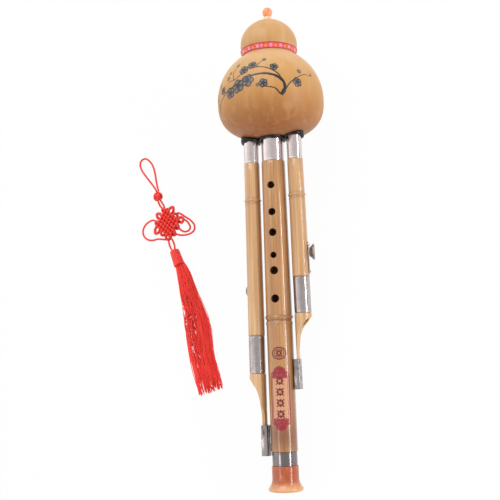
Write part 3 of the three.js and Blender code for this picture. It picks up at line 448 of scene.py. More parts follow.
class Paint:
    """The nodes of one material round a Principled surface."""

    def __init__(self, name: str) -> None:
        """Starts a material with a bare Principled surface.

        Args:
            name: The material's name.
        """
        self.material = bpy.data.materials.new(name)
        self.material.use_nodes = True
        self.tree = self.material.node_tree
        self.tree.nodes.clear()
        self.surface = self.tree.nodes.new("ShaderNodeBsdfPrincipled")
        self.out = self.tree.nodes.new("ShaderNodeOutputMaterial")
        self.tree.links.new(self.surface.outputs[0], self.out.inputs["Surface"])

    def feed(self, socket: Socket, value: Value | tuple[float, ...]) -> None:
        """Sets a socket to a value or links another socket to it.

        Args:
            socket: The socket that is fed.
            value: A number, a vector, a colour or another socket.
        """
        if isinstance(value, Socket):
            self.tree.links.new(value, socket)
        else:
            socket.default_value = value

    def set(self, values: dict[str, Value | tuple[float, ...]]) -> None:
        """Feeds the surface's sockets by their names."""
        for name, value in values.items():
            self.feed(self.surface.inputs[name], value)

    def node(self, kind: str, inputs: Sequence[Value | tuple[float, ...]] = (),
             **settings: object) -> bpy.types.Node:
        """A new node.

        Args:
            kind: Blender's name for its kind.
            inputs: What its first sockets are fed with.
            settings: Its other properties.

        Returns:
            The node.
        """
        fresh = self.tree.nodes.new(kind)
        for key, value in settings.items():
            setattr(fresh, key, value)
        for socket, value in zip(fresh.inputs, inputs):
            self.feed(socket, value)
        return fresh

    def own_place(self, along: float = 1, round_it: float = 1) -> Socket:
        """The piece's own coordinates in metres, with those along its axis and round it scaled."""
        place = self.node("ShaderNodeTexCoord")
        return self.scaled(place.outputs["Object"], (round_it, along, round_it))

    def surface_place(self, scale: Triple = (1, 1, 1)) -> Socket:
        """The surface coordinates, arc and length in millimetres, scaled."""
        return self.scaled(self.node("ShaderNodeUVMap", uv_map="Place").outputs[0], scale)

    def scaled(self, vector: Socket, scale: Triple) -> Socket:
        """A vector scaled along each axis.

        Args:
            vector: The vector.
            scale: Its three scales.

        Returns:
            The scaled vector.
        """
        mapping = self.node("ShaderNodeMapping", [vector])
        mapping.inputs["Scale"].default_value = scale
        return mapping.outputs[0]

    def part(self, vector: Socket, axis: str) -> Socket:
        """One coordinate of a vector."""
        return self.node("ShaderNodeSeparateXYZ", [vector]).outputs[axis]

    def noise(self, vector: Socket, scale: float, detail: float = 3, twist: float = 0) -> Socket:
        """Cloudy noise.

        Args:
            vector: Where it is read.
            scale: How fine it is.
            detail: How many finer layers it has.
            twist: How far it is distorted.

        Returns:
            A number from 0 to 1.
        """
        cloud = self.node("ShaderNodeTexNoise")
        for name, value in (("Vector", vector), ("Scale", scale), ("Detail", detail), ("Distortion", twist)):
            self.feed(cloud.inputs[name], value)
        return cloud.outputs[0]

    def maths(self, operation: str, first: Value, second: Value = 0.0, third: Value = 0.0) -> Socket:
        """One sum on numbers, by Blender's name for it."""
        return self.node("ShaderNodeMath", (first, second, third), operation=operation).outputs[0]

    def apart(self, first: Value, second: Value) -> Socket:
        """How far two numbers are apart."""
        return self.maths("ABSOLUTE", self.maths("SUBTRACT", first, second))

    def shaken(self, value: Socket, cloud: Socket, reach: float) -> Socket:
        """A number moved up and down by a noise, over a reach."""
        shift = self.maths("MULTIPLY", self.maths("SUBTRACT", cloud, 0.5), reach)
        return self.maths("ADD", value, shift)

    def spread(self, value: Socket, low: float, high: float, to_low: float = 0, to_high: float = 1) -> Socket:
        """A range of numbers brought to another range, with a smooth step."""
        ends = (value, low, high, to_low, to_high)
        return self.node("ShaderNodeMapRange", ends, interpolation_type="SMOOTHSTEP").outputs[0]

    def ramp(self, value: Socket, stops: Sequence[tuple[float, Colour]]) -> Socket:
        """Colours along a number from 0 to 1.

        Args:
            value: The number.
            stops: Each colour with its place.

        Returns:
            The colour.
        """
        band = self.node("ShaderNodeValToRGB", [value])
        elements = band.color_ramp.elements
        while len(elements) < len(stops):
            elements.new(0.5)
        for element, (place, colour) in zip(elements, stops):
            element.position = place
            element.color = linear(colour)
        return band.outputs[0]

    def mixed(self, share: Value, first: Socket | Colour, second: Socket | Colour) -> Socket:
        """Two colours mixed.

        Args:
            share: How much of the second one shows, from 0 to 1.
            first: The first colour.
            second: The second colour.

        Returns:
            The mixed colour.
        """
        blend = self.node("ShaderNodeMix", [share], data_type="RGBA", blend_type="MIX")
        for socket, colour in ((blend.inputs[6], first), (blend.inputs[7], second)):
            self.feed(socket, colour if isinstance(colour, Socket) else linear(colour))
        return blend.outputs[2]

    def over(self, tone: Socket, colour: Socket | Colour, value: Socket, low: float, high: float,
             most: float = 1, least: float = 0) -> Socket:
        """A tone with a colour laid over it where a number goes from a low to a high value.

        Args:
            tone: The colour underneath.
            colour: The colour on top.
            value: The number that decides.
            low: Where the change starts.
            high: Where it ends.
            most: How much of the upper colour shows from there on.
            least: How much of it shows before.

        Returns:
            The mixed colour.
        """
        return self.mixed(self.spread(value, low, high, least, most), tone, colour)

    def relief(self, height: Socket, depth: float, strength: float = 1) -> None:
        """Raises the surface in its shading.

        Args:
            height: The relief, from 0 to 1.
            depth: What 1 stands for, in millimetres.
            strength: How much of the relief shows.
        """
        bump = self.node("ShaderNodeBump")
        for name, value in (("Strength", strength), ("Distance", depth * MM), ("Height", height)):
            self.feed(bump.inputs[name], value)
        self.set({"Normal": bump.outputs[0]})

    def gloss(self, roughness: Value, coat: float = 0, coat_roughness: float = 0.1) -> None:
        """Sets how rough the surface is, and how strong and rough its clear coat is."""
        self.set({"Roughness": roughness, "Coat Weight": coat, "Coat Roughness": coat_roughness})


@dataclass(frozen=True)
class Finish:
    """A finish. Its material is made once and then shared."""

    name: str

    def material(self) -> bpy.types.Material:
        """The Blender material of this finish."""
        known = bpy.data.materials.get(self.name)
        if known is not None:
            return known
        paint = Paint(self.name)
        self.dress(paint)
        return paint.material

    def dress(self, paint: Paint) -> None:
        """Wires the finish's nodes."""
        raise NotImplementedError


@dataclass(frozen=True)
class GourdSkin(Finish):
    """The dried and lacquered skin of a gourd, darker towards its foot. Its tones by height are partly its
    own and partly painted light: a paler shoulder and top, and painted shade on the lower bulb.
    """

    # Tones by height, partly the gourd's own and partly painted light: paler under the waist and at the top,
    # and painted shade low on the bulb.
    tones_and_painted_light: tuple[tuple[float, Colour], ...] = (
        (300, (158, 92, 36)), (316, (174, 113, 48)), (331, (188, 133, 66)), (344, (198, 147, 84)),
        (357, (208, 162, 106)), (367, (216, 172, 122)), (380, (192, 144, 86)), (400, (206, 158, 98)),
    )
    mottle: Colour = (172, 114, 58)
    streak: Colour = (226, 184, 130)
    fleck: Colour = (128, 78, 38)

    def dress(self, paint: Paint) -> None:
        """Wires the finish's nodes.

        Args:
            paint: The material that they go in.
        """
        place = paint.own_place()
        height = paint.part(place, "Y")
        height = paint.shaken(height, paint.noise(place, 26, 4, 0.4), 0.018)
        low, high = self.tones_and_painted_light[0][0], self.tones_and_painted_light[-1][0]
        share = paint.spread(height, low * MM, high * MM)
        share.node.interpolation_type = "LINEAR"
        # Painted light by height: the ramp pales the shoulder and top and darkens the lower bulb as painted
        # shade.
        tone = paint.ramp(share, [((rise - low) / (high - low), colour) for rise, colour in self.tones_and_painted_light])
        mottle = paint.noise(paint.own_place(0.55), 90, 5, 0.6)
        tone = paint.over(tone, self.mottle, mottle, 0.4, 0.75, 0.2)
        tone = paint.over(tone, self.streak, paint.noise(paint.own_place(0.07), 190, 3), 0.46, 0.72, 0.16)
        tone = paint.over(tone, self.fleck, paint.noise(place, 700, 2), 0.7, 0.8, 0.3)
        paint.set({"Base Color": tone, "Subsurface Weight": 0.05, "Subsurface Scale": 0.004})
        paint.gloss(paint.spread(mottle, 0.2, 0.8, 0.46, 0.56), 0.25, 0.42)
        paint.relief(paint.noise(place, 120, 3), 0.12, 0.4)


@dataclass(frozen=True)
class Bamboo(Finish):
    """Lacquered bamboo with its fibres along the pipe, and painted shade on its side towards X."""

    light: Colour
    dark: Colour
    # Also the colour of the painted shade on the pipe's side towards X.
    fleck: Colour
    node_height: float
    foot_height: float
    radius: float
    foot_reach: float = 20

    def dress(self, paint: Paint) -> None:
        """Wires the finish's nodes.

        Args:
            paint: The material that they go in.
        """
        place = paint.own_place()
        height = paint.part(place, "Y")
        broad = paint.noise(paint.own_place(0.03), 210, 4)
        fine = paint.noise(paint.own_place(0.012), 900, 4)
        dashes = paint.noise(paint.own_place(0.05), 1500, 2)
        tone = paint.mixed(paint.spread(broad, 0.36, 0.64), self.light, self.dark)
        tone = paint.over(tone, self.fleck, fine, 0.44, 0.66, 0.45)
        # Painted shade: the fleck colour darkens the pipe's side towards X, where the shade falls.
        wide = self.radius * MM
        tone = paint.over(tone, self.fleck, paint.part(place, "X"), wide * 0.5, wide, 0.5)
        tone = paint.over(tone, self.fleck, dashes, 0.66, 0.74, 0.5)
        tone = paint.over(tone, self.dark, paint.noise(place, 30, 3), 0.45, 0.75, 0.35)
        for rise, reach, most in ((-2.2, 1.8, 0.8), (1.5, 2, 0.5)):
            away = paint.apart(height, (self.node_height + rise) * MM)
            tone = paint.over(tone, self.fleck, away, 0, reach * MM, 0, most)
        up = paint.maths("SUBTRACT", height, self.foot_height * MM)
        up = paint.apart(up, paint.maths("MULTIPLY", fine, 0.0014 * self.foot_reach))
        tone = paint.over(tone, self.fleck, up, 0, self.foot_reach * MM, 0, 0.9)
        paint.set({"Base Color": tone})
        paint.gloss(paint.spread(fine, 0.3, 0.7, 0.34, 0.46), 0.9, 0.11)
        paint.relief(fine, 0.05, 0.4)


@dataclass(frozen=True)
class CutBamboo(Finish):
    """Bare bamboo where a hole or a cut opens its fibres. In the holes a dark copy of it stands for painted
    shade.
    """

    tone: Colour
    deep: Colour

    def dress(self, paint: Paint) -> None:
        """Wires the finish's nodes.

        Args:
            paint: The material that they go in.
        """
        pores = paint.noise(paint.own_place(0.04), 1100, 4)
        paint.set({"Base Color": paint.mixed(paint.spread(pores, 0.35, 0.7), self.tone, self.deep)})
        paint.gloss(0.62)
        paint.relief(pores, 0.12, 0.6)


@dataclass(frozen=True)
class Metal(Finish):
    """Rolled sheet metal with fine scratches and a little tarnish."""

    tone: Colour
    tarnish: Colour
    roughness: float
    tarnished: float = 0.3
    creased: float = 0

    def dress(self, paint: Paint) -> None:
        """Wires the finish's nodes.

        Args:
            paint: The material that they go in.
        """
        cloud = paint.noise(paint.own_place(), 95, 5, 0.8)
        brushed = paint.noise(paint.own_place(9), 260, 4)
        creases = paint.noise(paint.own_place(0.12), 420, 3, 0.4)
        tone = paint.mixed(paint.spread(cloud, 0.42, 0.78, 0, self.tarnished), self.tone, self.tarnish)
        tone = paint.over(tone, self.tarnish, creases, 0.52, 0.62, self.creased)
        paint.set({"Base Color": tone, "Metallic": 1})
        rough = paint.maths("ADD", paint.spread(cloud, 0.3, 0.8, 0, 0.1), self.roughness)
        paint.gloss(paint.maths("ADD", rough, paint.maths("MULTIPLY", brushed, 0.06)))
        paint.relief(brushed, 0.005, 0.3)


@dataclass(frozen=True)
class Resin(Finish):
    """Cast resin that lets a little light into it, light at a low height and dark at a high one."""

    light: Colour
    dark: Colour
    low: float
    high: float
    depth: float = 3
    inner: float = 0.5

    def dress(self, paint: Paint) -> None:
        """Wires the finish's nodes.

        Args:
            paint: The material that they go in.
        """
        swirl = paint.noise(paint.own_place(0.6), 130, 4, 1.4)
        height = paint.shaken(paint.part(paint.own_place(), "Y"), swirl, 0.006)
        tone = paint.mixed(paint.spread(height, self.low * MM, self.high * MM), self.light, self.dark)
        tone = paint.over(tone, self.light, swirl, 0.45, 0.75, 0.3)
        paint.set({"Base Color": tone, "Subsurface Weight": self.inner, "Subsurface Scale": self.depth * MM,
                   "Subsurface Radius": (1, 0.5, 0.3)})
        paint.gloss(paint.spread(swirl, 0.3, 0.8, 0.2, 0.3), 0.25, 0.08)


@dataclass(frozen=True)
class Sealant(Finish):
    """Black sealing compound, shiny and uneven."""

    dark: Colour = (8, 8, 10)
    light: Colour = (26, 25, 28)

    def dress(self, paint: Paint) -> None:
        """Wires the finish's nodes.

        Args:
            paint: The material that they go in.
        """
        lumps = paint.noise(paint.own_place(), 320, 5, 0.6)
        tone = paint.mixed(paint.spread(lumps, 0.4, 0.8), self.dark, self.light)
        paint.set({"Base Color": tone, "Specular IOR Level": 0.3})
        paint.gloss(paint.spread(lumps, 0.3, 0.7, 0.22, 0.4), 0.1, 0.1)
        paint.relief(lumps, 0.5, 0.7)


@dataclass(frozen=True)
class Ink(Finish):
    """Brushed ink or paint on a lacquered skin, thin in places."""

    tone: Colour
    thin: Colour
    share: float = 0.5

    def dress(self, paint: Paint) -> None:
        """Wires the finish's nodes.

        Args:
            paint: The material that they go in.
        """
        dry = paint.noise(paint.own_place(), 900, 3, 0.5)
        share = paint.spread(dry, 0.45, 0.75, 0, self.share)
        paint.set({"Base Color": paint.mixed(share, self.tone, self.thin)})
        paint.gloss(paint.spread(dry, 0.3, 0.7, 0.35, 0.5), 0.25, 0.2)


@dataclass(frozen=True)
class Brocade(Finish):
    """A satin ribbon woven with small flowers between two edge lines."""

    width: float
    ground: Colour = (236, 84, 66)
    worn: Colour = (220, 62, 54)
    edge: Colour = (186, 30, 40)
    petal: Colour = (246, 118, 156)
    heart: Colour = (250, 176, 190)
    leaf: Colour = (246, 140, 84)
    repeat: float = 9
    flower: float = 2.5
    sprig: float = 1.7

    def dress(self, paint: Paint) -> None:
        """Wires the finish's nodes.

        Args:
            paint: The material that they go in.
        """
        place = paint.surface_place()
        across = paint.part(place, "X")
        along = paint.part(place, "Y")
        half = self.repeat / 2
        rise = paint.maths("SUBTRACT", along, self.width / 2)
        flower = self.petals(paint, paint.maths("WRAP", across, half, -half), rise, self.flower, 5)
        between = paint.maths("WRAP", paint.maths("ADD", across, half), half, -half)
        sprig = self.petals(paint, between, paint.maths("ADD", rise, 0.3), self.sprig, 4)
        threads = paint.noise(paint.surface_place((1, 6, 1)), 2.2, 3)
        tone = paint.mixed(paint.spread(threads, 0.35, 0.7, 0, 0.5), self.ground, self.worn)
        tone = paint.over(tone, self.leaf, sprig, 0.05, -0.25)
        tone = paint.over(tone, self.petal, flower, 0.05, -0.3)
        tone = paint.over(tone, self.heart, flower, -0.95, -1.35)
        side = paint.maths("ABSOLUTE", rise)
        tone = paint.over(tone, self.edge, side, self.width / 2 - 0.7, self.width / 2 - 0.5)
        paint.set({"Base Color": tone, "Sheen Weight": 0.4, "Sheen Roughness": 0.35})
        paint.gloss(0.5)
        weft = paint.maths("SINE", paint.maths("MULTIPLY", along, 24))
        warp = paint.maths("SINE", paint.maths("MULTIPLY", across, 20))
        raised = paint.spread(flower, 0.1, -0.5, 0, 4)
        paint.relief(paint.maths("ADD", paint.maths("MULTIPLY", weft, warp), raised), 0.07, 0.8)

    @staticmethod
    def petals(paint: Paint, x: Socket, y: Socket, size: float, count: int) -> Socket:
        """How far outside a flower a place lies.

        Args:
            paint: The material.
            x: The place's first coordinate from the flower's middle.
            y: Its second coordinate.
            size: The flower's radius.
            count: How many petals it has.

        Returns:
            A distance, below zero inside the flower.
        """
        square = paint.maths("ADD", paint.maths("MULTIPLY", x, x), paint.maths("MULTIPLY", y, y))
        turn = paint.maths("ARCTAN2", y, x)
        wave = paint.maths("ABSOLUTE", paint.maths("COSINE", paint.maths("MULTIPLY", turn, count / 2)))
        rim = paint.maths("MULTIPLY_ADD", wave, size * 0.45, size * 0.55)
        return paint.maths("SUBTRACT", paint.maths("SQRT", square), rim)


@dataclass(frozen=True)
class SatinCord(Finish):
    """Braided satin cord, with painted shade in the grooves of its braid."""

    light: Colour = (255, 66, 50)
    dark: Colour = (226, 28, 26)
    sheen: Colour = (255, 150, 140)
    pitch: float = 0.5

    def dress(self, paint: Paint) -> None:
        """Wires the finish's nodes.

        Args:
            paint: The material that they go in.
        """
        place = paint.surface_place()
        across = paint.maths("MULTIPLY", paint.part(place, "X"), FULL_TURN / (self.pitch * 1.4))
        along = paint.maths("MULTIPLY", paint.part(place, "Y"), FULL_TURN / (self.pitch * 2.4))
        one, other = (paint.maths("SINE", paint.maths(way, across, along)) for way in ("ADD", "SUBTRACT"))
        braid = paint.maths("MAXIMUM", one, other)
        # Painted shade: the braid's grooves take the dark colour and its raised strands the light one.
        tone = paint.mixed(paint.spread(braid, -0.2, 0.9), self.dark, self.light)
        tone = paint.over(tone, self.dark, paint.noise(paint.own_place(), 260, 3), 0.4, 0.75, 0.4)
        paint.set({"Base Color": tone, "Sheen Weight": 0.5, "Sheen Roughness": 0.3,
                   "Sheen Tint": linear(self.sheen)})
        paint.gloss(0.36)
        paint.relief(braid, 0.07, 0.7)


@dataclass(frozen=True)
class Silk(Finish):
    """Loose silk threads."""

    light: Colour = (255, 84, 72)
    dark: Colour = (246, 34, 36)
    sheen: Colour = (255, 160, 150)

    def dress(self, paint: Paint) -> None:
        """Wires the finish's nodes.

        Args:
            paint: The material that they go in.
        """
        strand = paint.noise(paint.surface_place((0.35, 0.012, 1)), 3, 3)
        tone = paint.mixed(paint.spread(strand, 0.35, 0.68), self.light, self.dark)
        paint.set({"Base Color": tone, "Sheen Weight": 0.4, "Sheen Tint": linear(self.sheen)})
        paint.gloss(paint.spread(strand, 0.3, 0.7, 0.3, 0.44))


@dataclass(frozen=True)
class Brass(Finish):
    """Hammered reed brass."""

    light: Colour = (196, 156, 72)
    dark: Colour = (150, 112, 46)

    def dress(self, paint: Paint) -> None:
        """Wires the finish's nodes.

        Args:
            paint: The material that they go in.
        """
        marks = paint.noise(paint.own_place(), 500, 4)
        tone = paint.mixed(paint.spread(marks, 0.4, 0.7), self.light, self.dark)
        paint.set({"Base Color": tone, "Metallic": 1})
        paint.gloss(paint.spread(marks, 0.3, 0.7, 0.24, 0.4))
        paint.relief(marks, 0.03, 0.5)


# Each fleck colour below also paints the painted shade on a pipe's side towards X.
GOLDEN = {"light": (196, 145, 90), "dark": (172, 118, 66), "fleck": (128, 76, 38)}
PALE = {"light": (218, 176, 128), "dark": (198, 151, 101), "fleck": (160, 108, 62)}
BRIGHT_STEEL = Metal("bright_steel", (226, 214, 212), (168, 154, 148), 0.08, 0.2)
DULL_STEEL = Metal("dull_steel", (192, 183, 182), (120, 108, 102), 0.12, 0.4)
GREY_STEEL = Metal("grey_steel", (136, 127, 128), (92, 82, 80), 0.12, 0.4)
KNOB_STEEL = Metal("knob_steel", (150, 139, 132), (100, 90, 84), 0.2, 0.35)
CLIP_STEEL = Metal("clip_steel", (172, 163, 162), (88, 78, 72), 0.16, 0.5, 0.8)
BLACK_INK = Ink("black_ink", (24, 20, 20), (60, 48, 42), 0.35)
GREY_WASH = Ink("grey_wash", (112, 98, 94), (164, 136, 112), 0.6)
RED_INK = Ink("red_ink", (146, 16, 34), (168, 44, 50), 0.35)
BROWN_INK = Ink("brown_ink", (112, 26, 26), (136, 52, 40), 0.3)
ROSE_WASH = Ink("rose_wash", (150, 36, 46), (188, 98, 82), 0.85)
SALMON_WASH = Ink("salmon_wash", (206, 150, 112), (198, 140, 96), 0.7)
# The hole walls are a dark copy of the cut bamboo: painted shade inside the holes.
SHADED_HOLE_WALL = CutBamboo("hole_wall", (74, 44, 26), (40, 24, 16))
CUT_FACE = CutBamboo("cut_face", (226, 184, 138), (196, 146, 98))
CORD = SatinCord("red_satin_cord")
SILK = Silk("red_silk")


# Shared sizes and places


@dataclass(frozen=True)
class Layout:
    """Sizes and heights that several pieces share."""

    bulb_radius: float = 46.4
    bulb_depth: float = 32
    bulb_rise: float = 46.6
    bulb_squareness: float = 2.6
    crown_radius: float = 24.6
    crown_rise: float = 23.4
    waist_depth: float = 2.3
    waist_fillet: float = 2.4
    gourd_wall: float = 4
    mouth_radius: float = 3.3
    bell_length: float = 20.4
    foot_ferrule_length: float = 11.3
    bamboo_length: float = 245.3
    ferrule_shown: float = 21
    foot_radius: float = 11.05
    top_radius: float = 10.1
    edge: float = 0.4
    node_share: float = 0.45
    ferrule_wall: float = 0.65
    ferrule_inset: float = 0.4
    foot_ferrule_radius: float = 10.4
    reed_reach: float = 32
    pipe_gap: float = 3.05
    side_top_radius: float = 6.75
    side_ferrule_inset: float = 0.15
    side_edge: float = 0.25
    clip_gap: float = 3.1
    fit: float = 0.3

    @property
    def bamboo_foot(self) -> float:
        """The height of the bamboo's foot."""
        return self.bell_length + self.foot_ferrule_length

    @property
    def bamboo_top(self) -> float:
        """The height of the bamboo's shoulder under the top ferrules."""
        return self.bamboo_foot + self.bamboo_length

    @property
    def gourd_base(self) -> float:
        """The height of the gourd's lowest point."""
        return self.bamboo_top + self.ferrule_shown

    @property
    def bulb_centre(self) -> float:
        """The height of the gourd's greatest width."""
        return self.gourd_base + self.bulb_depth

    @property
    def waist_radius(self) -> float:
        """The gourd's radius at its waist."""
        return self.crown_radius - self.waist_depth

    @property
    def waist_height(self) -> float:
        """The height of the gourd's waist."""
        share = self.waist_radius / self.bulb_radius
        return self.bulb_centre + self.bulb_rise * math.sqrt(1 - share**2)

    @property
    def crown_centre(self) -> float:
        """The height of the middle of the gourd's upper bulb."""
        share = self.waist_radius / self.crown_radius
        return self.waist_height + self.crown_radius * math.sqrt(1 - share**2)

    @property
    def gourd_top(self) -> float:
        """The height of the gourd's mouth hole."""
        share = self.mouth_radius / self.crown_radius
        return self.crown_centre + self.crown_rise * math.sqrt(1 - share**2)

    @property
    def reed_top(self) -> float:
        """The height of the pipes' ends inside the gourd."""
        return self.gourd_base + self.reed_reach

    @property
    def node_height(self) -> float:
        """The height of the main pipe's node."""
        return self.bamboo_foot + self.bamboo_length * self.node_share

    @property
    def ferrule_radius(self) -> float:
        """The main ferrule's outer radius."""
        return self.top_radius - self.ferrule_inset

    @property
    def side_ferrule_radius(self) -> float:
        """A drone's top ferrule's outer radius."""
        return self.side_top_radius - self.side_ferrule_inset

    def place(self) -> Matrix:
        """The instrument's place in the row frame, from the record's foot face and stopper axis."""
        face = frame["record"]["mounts"][0]["pos_m"]
        axis = next(j["axis"] for j in frame["joints"] if j["name"] == "mouth_stopper_pull")
        slope = math.atan2(axis[2], axis[1])
        return Matrix.Translation((0, face[1], face[2])) @ Matrix.Rotation(slope, 4, "X")


LAYOUT = Layout()


@dataclass(frozen=True)
class Side:
    """The sizes of one drone pipe. Its sign is that of its side on the X axis."""

    name: str
    sign: int
    clip_rise: float
    scarf: float
    strip: float
    sleeve_length: float
    foot_radius: float
    node_share: float
    plate_rise: float
    stopper_turn: float
    stopper_body: Body
    clip_length: float = 25
    plate_length: float = 27.5
    plate_share: float = 0.68
    bore: float = 4.3
    top_bore: float = 3.7
    plug_hole: float = 2.4

    @property
    def clip_foot(self) -> float:
        """The height of the clip's foot."""
        return LAYOUT.bell_length + self.clip_rise

    @property
    def clip_top(self) -> float:
        """The height of the clip's top."""
        return self.clip_foot + self.clip_length

    @property
    def sleeve_foot(self) -> float:
        """The height of the tail ferrule's foot."""
        return self.clip_top + self.scarf

    @property
    def foot(self) -> float:
        """The height of the drone bamboo's foot."""
        return self.sleeve_foot + self.sleeve_length

    @property
    def length(self) -> float:
        """The drone bamboo's length under the top ferrule."""
        return LAYOUT.bamboo_top - self.foot

    @property
    def node(self) -> float:
        """The height of the drone bamboo's node."""
        return self.foot + self.length * self.node_share

    @property
    def sleeve_radius(self) -> float:
        """The tail ferrule's outer radius."""
        return self.foot_radius - LAYOUT.side_ferrule_inset

    @property
    def tenon(self) -> float:
        """The radius of the bamboo inside the tail ferrule."""
        return self.sleeve_radius - LAYOUT.ferrule_wall - LAYOUT.fit

    @property
    def offset_and_lean(self) -> tuple[float, float]:
        """The drone's distance from the main axis at the foot, and its lean."""
        top = LAYOUT.ferrule_radius + LAYOUT.pipe_gap + LAYOUT.side_ferrule_radius
        foot = LAYOUT.foot_radius + LAYOUT.clip_gap + self.foot_radius
        middle = self.clip_top - self.clip_length / 2
        lean = math.atan((foot - top) / (LAYOUT.gourd_base - middle))
        return top + LAYOUT.gourd_base * math.tan(lean), lean

    def place(self) -> Matrix:
        """The drone's place in the row frame."""
        offset, lean = self.offset_and_lean
        shift = Matrix.Translation((self.sign * offset * MM, 0, 0))
        return LAYOUT.place() @ shift @ Matrix.Rotation(self.sign * lean, 4, "Z")

    def local_place(self) -> Matrix:
        """The drone's place in the instrument's own frame, in millimetres."""
        offset, lean = self.offset_and_lean
        return Matrix.Translation((self.sign * offset, 0, 0)) @ Matrix.Rotation(self.sign * lean, 4, "Z")

    def stopper_place(self) -> Matrix:
        """The place of a frame whose Y axis points out along the stopper's stem."""
        turn = math.radians(self.stopper_turn)
        out = Vector((math.cos(turn), 0, math.sin(turn)))
        along = Vector((0, 1, 0))
        across = out.cross(along)
        basis = Matrix((across, out, along)).transposed().to_4x4()
        height = self.foot + self.plate_rise + self.plate_length * self.plate_share
        return self.place() @ Matrix.Translation((0, height * MM, 0)) @ basis


LEFT = Side("left", -1, 8, 43, 3.3, 31.1, 7.05, 0.78, 21, -116, Body.LEFT_STOPPER)
RIGHT = Side("right", 1, 62, 38, 1.6, 30, 7.25, 0.694, 2.3, -10, Body.RIGHT_STOPPER)


def settle(thing: bpy.types.Object, body: Body, nodes: Sequence[str]) -> bpy.types.Object:
    """Lets a piece ride on a body and stand for CAD nodes.

    Args:
        thing: The piece.
        body: The body it moves with.
        nodes: The CAD nodes that it stands for.

    Returns:
        The same piece.
    """
    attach(thing, body.value)
    if nodes:
        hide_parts(*nodes)
    return thing


# Painted skins


SUNK = -0.03
DEEP = -0.2


class Skin:
    """A surface that paint is laid on, in the instrument's own frame."""

    def laid(self, points: np.ndarray, lift: float | np.ndarray) -> np.ndarray:
        """Points brought onto the surface and lifted off it."""
        raise NotImplementedError

    def stroke(self, line: np.ndarray, widths: np.ndarray | float, height: float = 0.07,
               columns: int = 3) -> Shape:
        """A raised brush stroke along points near the surface.

        Args:
            line: The points of its middle.
            widths: Its width, or one width for each point.
            height: How far its middle stands off the surface.
            columns: Lines of points across its raised face.

        Returns:
            The stroke, closed below the surface.
        """
        middle = self.laid(line, 0.0)
        normal = self.laid(line, 1.0) - middle
        along = np.gradient(middle, axis=0)
        along /= np.maximum(np.linalg.norm(along, axis=1, keepdims=True), 1e-9)
        side = np.cross(normal, along)
        half = np.broadcast_to(np.asarray(widths, float), (len(line),))[:, None] / 2
        inner = 1 - 1.2 / columns
        spots = [(-1, SUNK), *((share, height) for share in np.linspace(-inner, inner, columns))]
        spots += [(1, SUNK), (0, DEEP), (-1, SUNK)]
        points = np.stack([self.laid(middle + side * half * share, lift) for share, lift in spots], axis=1)
        ends = points.mean(axis=1, keepdims=True).repeat(len(spots), 1)
        return Shape.grid(np.concatenate([ends[:1], points, ends[-1:]]))

    def patch(self, outline: np.ndarray, height: float) -> Shape:
        """A raised patch on the surface.

        Args:
            outline: Points near the surface round it.
            height: How far it stands off the surface.

        Returns:
            The patch, closed below the surface.
        """
        ring = np.vstack([outline, outline[:1]])
        middle = outline.mean(axis=0)
        spots = ((0, height), (0.5, height), (0.9, height), (1, SUNK), (0.5, DEEP), (0, DEEP))
        rows = [self.laid(middle + (ring - middle) * share, lift) for share, lift in spots]
        return Shape.grid(np.array(rows))


